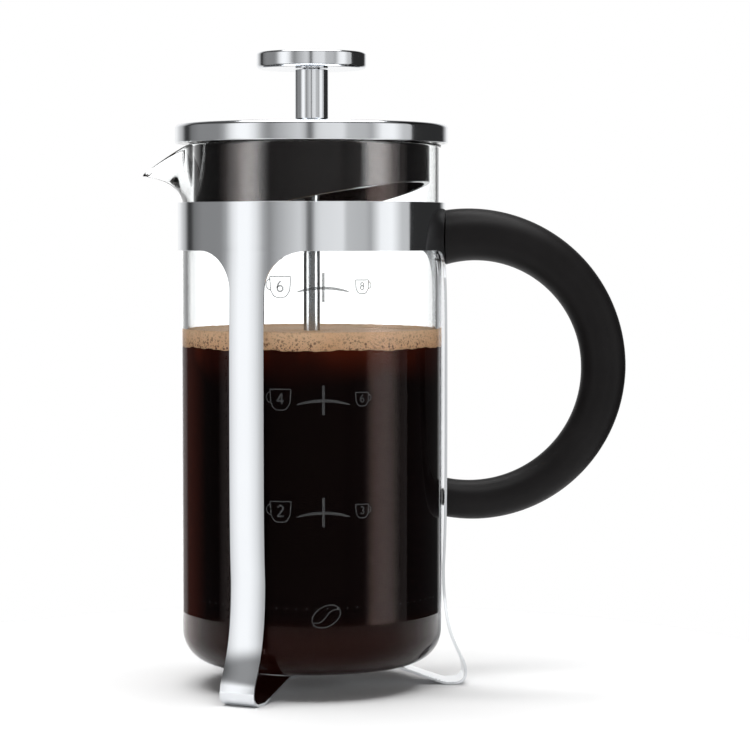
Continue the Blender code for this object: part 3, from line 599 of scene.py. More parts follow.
def make_finishes():
    """Builds the shared groups and every material once."""
    sizes, finish = bpy.context.scene.press_sizes, bpy.context.scene.press_finish
    GROUPS.update(polish=polish_group(), lathe=lathe_group(), grain=grain_group())
    GROUPS.update(weave=weave_group(), bubbles=bubble_group())
    steel = tuple(finish.steel)
    FINISHES["sheet"] = metal("polished_sheet", GROUPS["polish"], steel, 0.12, Calm=0.06, Rough=0.15)
    FINISHES["turned"] = metal("turned_steel", GROUPS["lathe"], steel, 0.1, Calm=0.06, Rough=0.16)
    # Painted shade: a darker copy of the steel for the rod and the coiled wire, standing in for the shade
    # they sit in.
    FINISHES["rod"] = metal("rod_steel_painted_shade", GROUPS["lathe"], (0.5, 0.51, 0.52), 0.1, Calm=0.16, Rough=0.28)
    FINISHES["satin"] = metal("satin_steel", GROUPS["lathe"], (0.55, 0.56, 0.57), 0.2, Calm=0.26, Rough=0.42)
    brass = (0.70, 0.50, 0.22)
    FINISHES["brass"] = metal("machined_brass", GROUPS["lathe"], brass, 0.2, Calm=0.2, Rough=0.35)
    black = tuple(finish.plastic)
    FINISHES["handle"] = moulded_plastic("handle_plastic", black, 2600.0, 0.4, 0.5, 0.25, 0.14)
    FINISHES["plug"] = moulded_plastic("plug_plastic", black, 1500.0, 0.05, 0.1, 0.02, 0.68)
    FINISHES["glass"] = clear_glass()
    FINISHES["weave"] = woven_steel()
    FINISHES["coffee"] = coffee_material(sizes, finish)
    FINISHES["foam"] = foam_material(sizes, finish)
    FINISHES["print"] = print_material(finish)


# ---- Properties ----------------------------------------------------------------------------------


class PressSizes(bpy.types.PropertyGroup):
    """Sizes that can be changed without touching the model's own."""

    fill_level: bpy.props.FloatProperty(
        name="Fill level",
        description="Height of the top of the foam above the underside of the glass",
        default=0.1283,
        min=0.06,
        max=0.16,
        unit="LENGTH",
    )
    foam_depth: bpy.props.FloatProperty(
        name="Foam depth",
        description="Thickness of the foam at the glass",
        default=0.0068,
        min=0.001,
        max=0.02,
        unit="LENGTH",
    )
    filled: bpy.props.BoolProperty(
        name="Filled", description="Show the coffee and its foam in the glass", default=True
    )
    edge_rounding: bpy.props.FloatProperty(
        name="Edge rounding",
        description="Width of the softened edges of the stamped steel",
        default=0.00018,
        min=0.00005,
        max=0.0004,
        unit="LENGTH",
    )
    wire_thickness: bpy.props.FloatProperty(
        name="Wire thickness",
        description="Diameter of the wire that is coiled round the spring disc",
        default=0.0007,
        min=0.0003,
        max=0.0012,
        unit="LENGTH",
    )
    coil_pitch: bpy.props.FloatProperty(
        name="Coil pitch",
        description="Distance between the turns of the coiled wire",
        default=0.0036,
        min=0.0012,
        max=0.006,
        unit="LENGTH",
    )
    print_thickness: bpy.props.FloatProperty(
        name="Print thickness",
        description="Thickness of the printed cup marks",
        default=0.00005,
        min=0.00002,
        max=0.0002,
        unit="LENGTH",
    )


class PressFinish(bpy.types.PropertyGroup):
    """Colours and optical values of the finishes."""

    steel: bpy.props.FloatVectorProperty(
        name="Steel",
        description="Colour of the polished steel",
        default=(0.765, 0.785, 0.81),
        subtype="COLOR",
        size=3,
    )
    plastic: bpy.props.FloatVectorProperty(
        name="Plastic",
        description="Colour of the handle and the plug",
        default=(0.007, 0.0062, 0.0064),
        subtype="COLOR",
    )
    coffee: bpy.props.FloatVectorProperty(
        name="Coffee",
        description="Colour of the coffee at its darkest",
        default=(0.002, 0.001, 0.001),
        subtype="COLOR",
    )
    # The colour of the coffee's painted glow.
    coffee_glow: bpy.props.FloatVectorProperty(
        name="Coffee glow",
        description="Colour of the coffee where light gets in",
        default=(0.10, 0.013, 0.0035),
        subtype="COLOR",
    )
    foam: bpy.props.FloatVectorProperty(
        name="Foam",
        description="Colour of the foam at its palest",
        default=(0.88, 0.52, 0.28),
        subtype="COLOR",
    )
    marks: bpy.props.FloatVectorProperty(
        name="Marks",
        description="Colour of the printed cup marks",
        default=(0.068, 0.069, 0.071),
        subtype="COLOR",
    )
    glass_bend: bpy.props.FloatProperty(
        name="Glass IOR",
        description="Refractive index of the glass",
        default=1.47,
        min=1.3,
        max=1.7,
        subtype="FACTOR",
    )
    room_light: bpy.props.FloatProperty(
        name="Room light",
        description="Strength of the studio's light",
        default=1.0,
        min=0.1,
        max=4.0,
        subtype="FACTOR",
    )


# ---- Beaker --------------------------------------------------------------------------------------


def spout_push(grid):
    """Moves the points of the plain wall into the spout.

    The push grows with height from the spout's root to the rim: as a power near the square for the
    reach, and a little slower for the drop. Across the spout it is a bell, one minus a power of the
    share of the half angle, squared, so the channel meets the wall softly and narrows to a tip.
    """
    x, y, z = grid[..., 0] - AXIS_X, grid[..., 1], grid[..., 2]
    across = np.abs(np.arctan2(y, -x)) / SPOUT_HALF_ANGLE
    up = np.clip((z - SPOUT_ROOT) / (RIM - SPOUT_ROOT - GLASS_WALL / 2), 0, 1)
    bell = np.where(across < 1, (1 - np.minimum(across, 1) ** 1.35) ** 2, 0.0)
    reach = -SPOUT_TIP - GLASS_RADIUS
    out = reach * bell * (0.35 * up**2 + 0.65 * up**1.5)
    drop = SPOUT_DROP * bell * up**1.6
    return np.stack([grid[..., 0] - out, y, z - drop], -1)


class PRESS_OT_beaker(bpy.types.Operator):
    """Blow the glass beaker with its spout"""

    bl_idname = "press.beaker"
    bl_label = "Beaker"

    def execute(self, context):
        """Turns the wall's outline, gathers its columns towards the spout and pushes the spout out.

        The columns' angle, counted from the spout, loses half its sine, which brings them closer
        together there.
        """
        inner_corner = GLASS_CORNER - GLASS_WALL
        floor = GLASS_BOTTOM + GLASS_FLOOR
        lip = GLASS_WALL / 2
        levels = np.linspace(SPOUT_ROOT, RIM - lip, 26)
        corner = np.linspace(-90, 0, 14) * math.pi / 180
        bead = np.linspace(180, 0, 11)[1:-1] * math.pi / 180
        turn = np.stack([np.cos(corner) - 1, np.sin(corner) + 1], 1)
        inside = (GLASS_INSIDE, floor) + inner_corner * turn
        outside = (GLASS_RADIUS, GLASS_BOTTOM) + GLASS_CORNER * turn[::-1]
        middle = np.linspace(floor + inner_corner, SPOUT_ROOT, 12)[1:-1]
        push = 0.12 * MM
        outline = [
            [[0.0, floor + push], [0.5 * GLASS_INSIDE, floor]],
            inside,
            np.stack([np.full(10, GLASS_INSIDE), middle], 1),
            np.stack([np.full(26, GLASS_INSIDE), levels], 1),
            np.stack([GLASS_INSIDE + lip + lip * np.cos(bead), RIM - lip + lip * np.sin(bead)], 1),
            np.stack([np.full(26, GLASS_RADIUS), levels[::-1]], 1),
            np.stack([np.full(10, GLASS_RADIUS), middle[::-1]], 1),
            outside,
            [[0.5 * GLASS_RADIUS, GLASS_BOTTOM], [0.0, GLASS_BOTTOM]],
        ]
        turns = np.linspace(-math.pi, math.pi, 288, endpoint=False)
        turns = math.pi + turns - 0.5 * np.sin(turns)
        grid = spout_push(turned_grid(np.concatenate([np.asarray(part) for part in outline]), turns))
        beaker = mesh_object("blown_beaker", [(grid, grid_faces(len(grid), 288, False, True))])
        dress(beaker, FINISHES["glass"], "glass", "clear_glass", "beaker")
        return {"FINISHED"}


# ---- Cup marks -----------------------------------------------------------------------------------


def stroke(path, width, closed=False):
    """A ribbon along a flat path: each point is moved half the width to both sides, square to the path.

    The width may be one number or one for each point.
    """
    path = np.asarray(path, float)
    if closed:
        ahead = np.roll(path, -1, 0) - np.roll(path, 1, 0)
    else:
        ahead = np.gradient(path, axis=0)
    ahead /= np.linalg.norm(ahead, axis=1)[:, None]
    side = np.stack([-ahead[:, 1], ahead[:, 0]], 1) * np.broadcast_to(width, len(path))[:, None] / 2
    grid = np.stack([path + side, path - side], 0)
    return grid, grid_faces(2, len(path), False, closed)


def along(points, spacing=0.0004, closed=True):
    """Evenly spaced points on the straight lines between given ones."""
    points = np.asarray(points, float)
    if closed:
        points = np.concatenate([points, points[:1]])
    steps = np.linalg.norm(np.diff(points, axis=0), axis=1)
    total = np.concatenate([[0], np.cumsum(steps)])
    at = np.linspace(0, total[-1], max(8, int(total[-1] / spacing)), endpoint=not closed)
    return np.stack([np.interp(at, total, points[:, i]) for i in (0, 1)], 1)


def cup_outline(width, height, side):
    """A cup seen from the side: a rim, walls that draw in, round lower corners, and a loop for a handle."""
    half, foot = width / 2, 0.27 * width
    corners = [(-half, height / 2, 0.0), (half, height / 2, 0.0)]
    corners += [(half - 0.04 * width, -0.16 * height, 0.3 * width), (foot, -height / 2, 0.25 * width)]
    corners += [(-foot, -height / 2, 0.25 * width), (-half + 0.04 * width, -0.16 * height, 0.3 * width)]
    body = along(rounded(corners + [(-half, height / 2, 0.0)])[:-1])
    angle = np.linspace(-math.pi / 2 - 0.1, math.pi / 2 + 0.1, 24)
    across = side * (half - 0.02 * width + 0.2 * width * np.cos(angle))
    return body, np.stack([across, (0.12 + 0.25 * np.sin(angle)) * height], 1)


def oval(middle, reach, start, end, steps=24):
    """Points on an ellipse from one angle to another, in degrees."""
    turn = np.radians(np.linspace(start, end, steps))
    return np.stack([middle[0] + reach[0] * np.cos(turn), middle[1] + reach[1] * np.sin(turn)], 1)


def figure_paths(text):
    """The pen's paths for a plain figure one unit high, drawn from arcs and straight lines."""
    if text == "2":
        swan = np.concatenate([oval((0, 0.24), (0.25, 0.26), 165, -30), [[-0.27, -0.5]]])
        return [swan, [[-0.3, -0.5], [0.3, -0.5]]]
    if text == "3":
        return [oval((0, 0.25), (0.23, 0.25), 150, -90), oval((0, -0.25), (0.27, 0.25), 90, -150)]
    if text == "4":
        return [[[0.13, -0.5], [0.13, 0.5], [-0.3, -0.2], [0.32, -0.2]]]
    loop = oval((0, -0.23), (0.27, 0.27), 0, 360)
    if text == "6":
        return [loop, oval((0.25, -0.2), (0.52, 0.7), 180, 108)]
    return [loop, oval((0, 0.25), (0.21, 0.24), 0, 360)]


def wrap_print(name, parts, thickness):
    """Flat shapes bent round the glass: the sideways place becomes an angle, and the upright one a height.

    Each shape is (points, faces, (sideways, height) of its middle).
    """
    cage_points, cage_faces, start = [], [], 0
    for points, faces, (across, height) in parts:
        flat = points.reshape(-1, 2) + (across, height)
        angle = MARKS_SIDE + flat[:, 0] / GLASS_RADIUS
        radius = GLASS_RADIUS + 0.5 * thickness
        wrapped = np.stack([AXIS_X + radius * np.cos(angle), radius * np.sin(angle), flat[:, 1]], 1)
        cage_points.append(wrapped)
        cage_faces += [tuple(int(v) + start for v in face) for face in faces]
        start += len(wrapped)
    mesh = bpy.data.meshes.new(name)
    mesh.from_pydata(np.concatenate(cage_points), [], cage_faces)
    mesh.update()
    cage = bmesh.new()
    cage.from_mesh(mesh)
    bmesh.ops.remove_doubles(cage, verts=cage.verts, dist=1e-7)
    for face in cage.faces:
        centre = face.calc_center_median()
        if face.normal.dot(Vector((centre.x - AXIS_X, centre.y, 0.0))) < 0:
            face.normal_flip()
    cage.to_mesh(mesh)
    cage.free()
    made = bpy.data.objects.new(name, mesh)
    bpy.context.scene.collection.objects.link(made)
    thicken(made, thickness, 1.0)
    return made


class PRESS_OT_marks(bpy.types.Operator):
    """Print the cup marks on the glass"""

    bl_idname = "press.marks"
    bl_label = "Cup marks"

    def execute(self, context):
        """Draws each mark flat and wraps it round the glass.

        A level line is a shallow arch whose ends taper: its width is the root of one minus the
        square of the distance from the middle.
        """
        thickness = context.scene.press_sizes.print_thickness
        line = 0.42 * MM
        parts = []
        s = np.linspace(-1, 1, 41)
        arch = np.stack([9.8 * MM * s, -1.5 * MM * s**2], 1)
        arch_width = 0.95 * MM * np.sqrt(1 - s**2) + 0.18 * MM
        bar = np.stack([np.zeros(21), np.linspace(-5.4, 5.4, 21) * MM], 1)
        for level, large, small in MARK_LEVELS:
            grid, faces = stroke(arch, arch_width)
            parts.append((grid, faces, (0.0, level)))
            grid, faces = stroke(bar, 1.0 * MM)
            parts.append((grid, faces, (0.0, level + 0.2 * MM)))
            for text, side, width, tall, across, figure in (
                (large, -1, 7.9, 7.6, -15.9, 3.9),
                (small, 1, 5.2, 5.0, 14.7, 2.6),
            ):
                body, loop = cup_outline(width * MM, tall * MM, side)
                place = (across * MM, level + 0.4 * MM)
                grid, faces = stroke(body, line, True)
                parts.append((grid, faces, place))
                grid, faces = stroke(loop, line)
                parts.append((grid, faces, place))
                for path in figure_paths(text):
                    path = along(np.asarray(path) * figure * MM, 0.1 * MM, False)
                    grid, faces = stroke(path, 0.17 * figure * MM)
                    parts.append((grid, faces, (place[0], place[1] + 0.3 * MM)))
        marks = wrap_print("cup_marks", parts, thickness)
        dress(marks, FINISHES["print"], "glass", "clear_glass")

        # A coffee bean in outline, low on the front: an oval and the wave of its crease.
        turn = np.linspace(0, TAU, 72, endpoint=False)
        tilt = math.radians(28)
        husk = np.stack([5.6 * MM * np.cos(turn), 3.7 * MM * np.sin(turn)], 1)
        crease = np.linspace(-1, 1, 41)
        wave = np.stack([5.3 * MM * crease, 0.9 * MM * np.sin(math.pi * crease)], 1)
        rotate = np.array([[math.cos(tilt), math.sin(tilt)], [-math.sin(tilt), math.cos(tilt)]])
        bean = []
        for path, closed in ((husk @ rotate, True), (wave @ rotate, False)):
            grid, faces = stroke(path, line, closed)
            bean.append((grid, faces, BEAN_PLACE))
        dress(wrap_print("bean_mark", bean, thickness), FINISHES["print"], "glass", "clear_glass")
        return {"FINISHED"}


# ---- Stand ---------------------------------------------------------------------------------------


def leg_route():
    """The outside of a leg in (radius, height), from the band's lower edge to the strip's inner end.

    It bows off the glass as one minus a fourth power, sweeps out on a cubic with upright ends, turns
    round the toe and the heel on arcs, climbs straight and levels out on an arc.
    """
    s = 1 - np.linspace(0, 1, 30)[:, None]
    height = TOE_HEIGHT + (BAND_BOTTOM - TOE_HEIGHT) * s
    bow = np.concatenate([BAND_OUTSIDE + LEG_BOW * (1 - (2 * s - 1) ** 4), height], 1)
    t = np.linspace(0, 1, 29)[1:, None]
    ends = np.array([[BAND_OUTSIDE, TOE_HEIGHT], [TOE_REACH, TOE_RADIUS]])
    leans = np.array([[BAND_OUTSIDE, 0.31 * TOE_HEIGHT], [TOE_REACH, 0.29 * TOE_HEIGHT]])
    sweep = (1 - t) ** 3 * ends[0] + 3 * (1 - t) ** 2 * t * leans[0]
    sweep = sweep + 3 * (1 - t) * t * t * leans[1] + t**3 * ends[1]

    def arc(centre, radius, start, end, steps):
        a = np.radians(np.linspace(start, end, steps))
        return np.stack([centre[0] + radius * np.cos(a), centre[1] + radius * np.sin(a)], 1)

    slope = math.degrees(ARCH_SLOPE)
    toe = arc((TOE_REACH - TOE_RADIUS, TOE_RADIUS), TOE_RADIUS, 0, -90, 14)[1:]
    heel = arc((TOE_REACH - TOE_RADIUS - SOLE_FLAT, HEEL_RADIUS), HEEL_RADIUS, -90, -90 - slope, 6)
    rise = ARCH_RISE - HEEL_RADIUS * (1 - math.cos(ARCH_SLOPE)) - heel[-1, 1]
    level = heel[-1, 0] - rise / math.tan(ARCH_SLOPE) - HEEL_RADIUS * math.sin(ARCH_SLOPE)
    bend = arc((level, ARCH_RISE - HEEL_RADIUS), HEEL_RADIUS, 90 - slope, 90, 6)
    climb = heel[-1] + (bend[0] - heel[-1]) * np.linspace(0, 1, 9)[1:-1, None]
    return np.concatenate([bow, sweep, toe, heel, climb, bend, [[STRIP_END, ARCH_RISE]]])


def leg_half_width(height):
    """Half the leg's width at each height: plain below, and a quarter circle out into the band."""
    half = LEG_WIDTH / 2
    rise = np.clip(height - (BAND_BOTTOM - LEG_FILLET), 0, LEG_FILLET)
    return half + LEG_FILLET - np.sqrt(LEG_FILLET**2 - rise**2)


class PRESS_OT_stand(bpy.types.Operator):
    """Stamp the band and its three legs, and rivet the plate under the glass"""

    bl_idname = "press.stand"
    bl_label = "Stand"

    def execute(self, context):
        """One sheet: the band's columns over each leg are the leg's own columns carried up.

        A leg's point stands square to the leg's middle by its share of the half width, so its angle
        is the arcsine of that distance over the radius.
        """
        share = np.linspace(-1, 1, 29)
        route = leg_route()
        rise = np.sin(np.linspace(math.pi / 2, 0, 15)) * LEG_FILLET + BAND_BOTTOM - LEG_FILLET
        bow = np.interp(rise, route[:30, 1][::-1], route[:30, 0][::-1])
        route = np.concatenate([np.stack([bow, rise], 1), route[route[:, 1] < rise[-1] - 1 * MM]])
        half = np.where(route[:, 1] > BAND_BOTTOM - LEG_FILLET, leg_half_width(route[:, 1]), LEG_WIDTH / 2)
        parts, columns = [], []
        for turn in LEG_TURNS:
            angle = turn + np.arcsin(share[None] * half[:, None] / route[:, :1])
            out, up = route[:, :1], np.broadcast_to(route[:, 1:], angle.shape)
            grid = np.stack([AXIS_X + out * np.cos(angle), out * np.sin(angle), up], 2)
            parts.append((grid, grid_faces(len(route), len(share), False, False)))
            gap = np.linspace(angle[0, -1], turn + TAU / 3 - (angle[0, -1] - turn), 25)[1:-1]
            columns += [angle[0], gap]
        columns = np.concatenate(columns)
        band = np.stack([np.full(7, BAND_OUTSIDE), np.linspace(BAND_TOP, BAND_BOTTOM, 7)], 1)
        grid = turned_grid(band, columns)
        parts.append((grid, grid_faces(7, len(columns), False, True)))
        sheet = mesh_object("stamped_frame", parts)
        outward = [p.normal.dot(p.center - Vector((AXIS_X, 0, p.center.z))) for p in sheet.data.polygons[:40]]
        if sum(outward) < 0:
            sheet.data.flip_normals()
        thicken(sheet, SHEET)
        soften(sheet, context.scene.press_sizes.edge_rounding)
        dress(sheet, FINISHES["sheet"], "stand", "polished_steel", "frame")

        edge = 0.25 * MM
        inner = 0.25 * PLATE_RADIUS
        seam = (1.2 * inner, PLATE_LOW, 0.0)
        plate = [seam, (inner, PLATE_LOW, edge), (inner, PLATE_TOP, edge), (PLATE_RADIUS, PLATE_TOP, edge)]
        plate = rounded([*plate, (PLATE_RADIUS, PLATE_LOW, edge), seam])[:-1]
        piece = turned("carrying_plate", plate, 96)
        dress(piece, FINISHES["satin"], "stand", "satin_steel", "base_plate")
        for i, turn in enumerate(LEG_TURNS):
            node = f"base_rivet_{i + 1}"
            (low, high), out = span(node, 2), (span(node, 1)[1] - span(node, 1)[0]) / 2
            brim = ARCH_RISE - GAP
            shank = 0.53 * out
            rivet = [(0.0, high, 0.0), (shank, high, 0.1 * MM), (shank, brim, 0.0), (out, brim, 0.15 * MM)]
            rivet += [(out, brim - 0.3 * MM, 0.6 * MM), (0.6 * out, low, 1.2 * MM), (0.0, low, 0.0)]
            centre = (AXIS_X + RIVET_CIRCLE * math.cos(turn), RIVET_CIRCLE * math.sin(turn))
            piece = turned(f"domed_rivet_{i + 1}", rounded(rivet), 32, False, centre)
            dress(piece, FINISHES["satin"], "stand", "satin_steel", node)
        return {"FINISHED"}


# ---- Handle --------------------------------------------------------------------------------------


class PRESS_OT_handle(bpy.types.Operator):
    """Mould the round handle and put in its fasteners"""

    bl_idname = "press.handle"
    bl_label = "Handle"

    def execute(self, context):
        """A round section carried along an arc through both ends and the outermost point.

        Each of the lines that run along it stops where it meets the steel, so the ends fit the
        band and the bowed leg. The stop is found by halving, for all lines at once.
        """
        top, foot = PEG_Z, SCREW_Z
        half = (top - foot) / 2
        reach = HANDLE_OUTSIDE - AXIS_X - HANDLE_MIDDLE_THICKNESS / 2 - BAND_OUTSIDE
        radius = (half**2 + reach**2) / (2 * reach)
        centre = (AXIS_X + BAND_OUTSIDE + reach - radius, (top + foot) / 2)
        end = math.pi - math.asin(half / radius)
        leg = leg_route()[:30]

        def section(share, around):
            """The surface at a share of the way from the top (1) to the foot (-1)."""
            angle = end * share
            swell = (HANDLE_TOP_THICKNESS - HANDLE_MIDDLE_THICKNESS) * np.abs(share) ** 1.6
            taper = (HANDLE_FOOT_THICKNESS - HANDLE_MIDDLE_THICKNESS) * np.abs(share)
            thick = HANDLE_MIDDLE_THICKNESS + np.where(share > 0, swell, taper)
            out = radius + thick / 2 * np.cos(around)
            x, z = centre[0] + out * np.cos(angle), centre[1] + out * np.sin(angle)
            return np.stack([x, thick / 2 * np.sin(around), z], -1)

        def seat(height):
            """Radius of the steel's outside at a height, with its clearance."""
            bowed = np.interp(height, leg[:, 1][::-1], leg[:, 0][::-1])
            return np.where(height > BAND_BOTTOM, BAND_OUTSIDE, bowed) + GAP

        around = np.linspace(0, TAU, 72, endpoint=False)
        stops = []
        for sign in (1, -1):
            low, high = np.full(72, 0.6), np.full(72, 1.12)
            for _ in range(40):
                middle = (low + high) / 2
                point = section(sign * middle, around)
                clear = np.hypot(point[:, 0] - AXIS_X, point[:, 1]) > seat(point[:, 2])
                low, high = np.where(clear, middle, low), np.where(clear, high, middle)
            stops.append(sign * low)
        share = np.linspace(0, 1, 150)[:, None]
        share = share - 0.06 * np.sin(TAU * share) / TAU
        lines = stops[0][None] * (1 - share) + stops[1][None] * share
        tube = section(lines, around[None])
        caps = []
        for ring in (tube[0], tube[-1]):
            middle = ring.mean(0)
            inward = np.array([0.97, 0.8, 0.5, 0.0])[:, None, None]
            cap = middle + (ring - middle) * inward
            angle = np.arcsin(cap[..., 1] / seat(cap[..., 2]))
            cap[..., 0] = AXIS_X + seat(cap[..., 2]) * np.cos(angle)
            caps.append(cap)
        grid = np.concatenate([caps[0][::-1], tube, caps[1]])
        handle = mesh_object("moulded_handle", [(grid, grid_faces(len(grid), 72, False, True))])
        handle.data.set_sharp_from_angle(angle=math.radians(50))
        dress(handle, FINISHES["handle"], "stand", "black_plastic", "handle")

        # The flat head shows between the leg and the glass.
        head, thick = 3.6 * MM, 0.6 * MM
        reach = span("handle_screw", 0)[1] - AXIS_X - SCREW_HEAD_X
        shank = 2.0 * MM
        screw = [(0.0, reach, 0.0), (shank, reach, 0.3 * MM), (shank, thick, 0.0), (head, thick, 0.1 * MM)]
        screw += [(0.85 * head, 0.0, 0.3 * MM), (0.0, 0.0, 0.0)]
        piece = turned("flat_screw", rounded(screw), 48, False, (0.0, 0.0))
        lay_along_x(piece, AXIS_X + SCREW_HEAD_X, SCREW_Z)
        dress(piece, FINISHES["satin"], "stand", "satin_steel", "handle_screw")
        for node, finish in (("handle_peg", "satin"), ("handle_insert", "brass")):
            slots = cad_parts[node].data.materials
            slots.clear()
            slots.append(FINISHES[finish])
        return {"FINISHED"}


# ---- Lid -----------------------------------------------------------------------------------------


class PRESS_OT_lid(bpy.types.Operator):
    """Press the steel cap and mould the slanted plug"""

    bl_idname = "press.lid"
    bl_label = "Lid"

    def execute(self, context):
        """The plug's skirt is stretched down to a slanted plane.

        The plane's height is its level at the axis plus the slope times the distance towards the
        high side. A point between the flange and the edge moves by its share of the way down.
        """
        hole = BUSH_RADIUS + GAP
        wall = 1.0 * MM
        inside = CAP_RADIUS - wall
        cap = [(hole, CAP_TOP - wall, 0.0), (hole, CAP_TOP - 0.25 * MM, 0.2 * MM)]
        cap += [(0.5 * CAP_RADIUS, CAP_TOP - 0.1 * MM, 4 * MM), (CAP_RADIUS - 3.4 * MM, CAP_TOP, 3 * MM)]
        cap += [(CAP_RADIUS, CAP_TOP, 1.7 * MM), (CAP_RADIUS, CAP_LOW, 0.45 * MM)]
        cap += [(inside, CAP_LOW, 0.45 * MM), (inside, CAP_TOP - wall, 0.5 * MM), (hole, CAP_TOP - wall, 0.0)]
        piece = turned("pressed_cap", rounded(cap, 7)[:-1], 256)
        dress(piece, FINISHES["turned"], "lid", "polished_steel", "lid_cap")

        base = RIM - PLUG_LEVEL
        web = PLUG_TOP - PLUG_WALL
        skirt = PLUG_RADIUS - PLUG_WALL
        hub_low = FLANGE_BOTTOM - HUB_HEIGHT
        plug = [(hole, hub_low, 0.0), (hole, PLUG_TOP, 0.3 * MM), (inside - GAP, PLUG_TOP, 0.5 * MM)]
        plug += [(inside - GAP, FLANGE_BOTTOM, 0.4 * MM), (PLUG_RADIUS, FLANGE_BOTTOM, 0.4 * MM)]
        plug += [(PLUG_RADIUS, base, 0.6 * MM), (skirt, base, 0.5 * MM), (skirt, web, 1.5 * MM)]
        plug += [(HUB_RADIUS, web, 1.5 * MM), (HUB_RADIUS, hub_low, 0.4 * MM), (hole, hub_low, 0.0)]
        angles = np.linspace(0, TAU, 256, endpoint=False)
        grid = turned_grid(rounded(plug)[:-1], angles)
        out = np.hypot(grid[..., 0] - AXIS_X, grid[..., 1])
        share = np.clip((FLANGE_BOTTOM - grid[..., 2]) / (FLANGE_BOTTOM - base), 0, 1)
        share = share * (out > 1.2 * HUB_RADIUS)
        grid[..., 2] += share * PLUG_SLOPE * out * np.cos(angles - PLUG_HIGH_SIDE)[None]
        piece = mesh_object("slanted_plug", [(grid, grid_faces(len(grid), 256, True, True))])
        dress(piece, FINISHES["plug"], "lid", "black_plastic", "lid_plug")
        return {"FINISHED"}


class PRESS_OT_guide(bpy.types.Operator):
    """Turn the bush that the rod slides in, and the nut below it"""

    bl_idname = "press.guide"
    bl_label = "Guide bush"

    def execute(self, context):
        """The nut's radius is a flat's distance over the cosine of the angle from that flat's middle."""
        bore = ROD_RADIUS + GAP
        flange = CAP_TOP + GAP
        bush = [(bore, BUSH_LOW, 0.0), (bore, BUSH_TOP, 0.2 * MM), (BUSH_FLANGE_RADIUS, BUSH_TOP, 0.35 * MM)]
        bush += [(BUSH_FLANGE_RADIUS, flange, 0.1 * MM), (BUSH_RADIUS, flange, 0.0)]
        bush += [(BUSH_RADIUS, BUSH_LOW, 0.3 * MM)]
        piece = turned("guide_bush", rounded(bush), 64)
        dress(piece, FINISHES["turned"], "guide", "polished_steel", "lid_bush")

        hole = BUSH_RADIUS + GAP
        flat = NUT_ACROSS_CORNERS / 2 * math.cos(math.pi / 6)
        nut = rounded([(hole, NUT_LOW, 0.0), (hole, NUT_TOP, 0.3 * MM), (1.0, NUT_TOP, 0.0)])[:-1]
        angles = np.linspace(0, TAU, 96, endpoint=False)
        hexagon = flat / np.cos((angles + math.pi / 6) % (math.pi / 3) - math.pi / 6)
        chamfer = 0.5 * MM
        rows = [np.full((1, 96, 2), (r, z)) for r, z in nut]
        for fit, z in ((0.0, NUT_TOP), (1.0, NUT_TOP - chamfer), (1.0, NUT_LOW + chamfer), (0.0, NUT_LOW)):
            r = np.minimum(hexagon, flat * 1.02) * (1 - fit) + hexagon * fit
            rows.append(np.stack([r, np.full(96, z)], 1)[None])
        rows = np.concatenate(rows)
        grid = np.stack(
            [AXIS_X + rows[..., 0] * np.cos(angles), rows[..., 0] * np.sin(angles), rows[..., 1]], 2
        )
        piece = mesh_object("clamp_nut", [(grid, grid_faces(len(grid), 96, True, True))])
        piece.data.set_sharp_from_angle(angle=math.radians(25))
        dress(piece, FINISHES["satin"], "guide", "satin_steel", "lid_nut")
        return {"FINISHED"}


# ---- Plunger -------------------------------------------------------------------------------------


class PRESS_OT_knob(bpy.types.Operator):
    """Turn the knob, its neck and the rod"""

    bl_idname = "press.knob"
    bl_label = "Knob and rod"

    def execute(self, context):
        """Plain turned outlines; the rod's foot has the ridges of its thread as rings."""
        bore = ROD_RADIUS + GAP
        depth = KNOB_LOW + 3.6 * MM
        knob = [(0.0, KNOB_TOP, 0.0), (0.6 * KNOB_RADIUS, KNOB_TOP, 0.0), (KNOB_RADIUS, KNOB_TOP, 0.9 * MM)]
        knob += [(KNOB_RADIUS, KNOB_LOW, 1.5 * MM), (bore, KNOB_LOW, 0.2 * MM)]
        knob += [(bore, depth, 0.0), (0.0, depth, 0.0)]
        piece = turned("turned_knob", rounded(knob, 7), 160, False)
        dress(piece, FINISHES["turned"], "plunger", "polished_steel", "knob")

        neck = [(bore, NECK_LOW, 0.0), (bore, NECK_TOP, 0.2 * MM), (NECK_RADIUS, NECK_TOP, 0.15 * MM)]
        neck += [(NECK_RADIUS, NECK_LOW + 0.9 * MM, 0.15 * MM), (NECK_RADIUS - 0.8 * MM, NECK_LOW, 0.2 * MM)]
        piece = turned("knob_neck", rounded(neck), 96)
        dress(piece, FINISHES["turned"], "plunger", "polished_steel", "knob_sleeve")

        shoulder = WASHER_TOP + GAP
        thread = np.linspace(shoulder - 0.8 * MM, ROD_LOW + 0.6 * MM, 61)
        ridge = THREAD_RADIUS + 0.12 * MM * np.cos(np.arange(61) * math.pi)
        rod = [(0.0, ROD_TOP, 0.0), (ROD_RADIUS, ROD_TOP, 0.5 * MM), (ROD_RADIUS, shoulder, 0.3 * MM)]
        rod = rounded([*rod, (THREAD_RADIUS, shoulder - 0.5 * MM, 0.0)])
        tip = [[THREAD_RADIUS - 0.5 * MM, ROD_LOW], [0.0, ROD_LOW]]
        outline = np.concatenate([rod, np.stack([ridge, thread], 1), tip])
        piece = turned("polished_rod", outline, 64, False)
        # The rod's darker steel is painted shade.
        dress(piece, FINISHES["rod"], "plunger", "polished_steel", "plunger_rod")
        return {"FINISHED"}


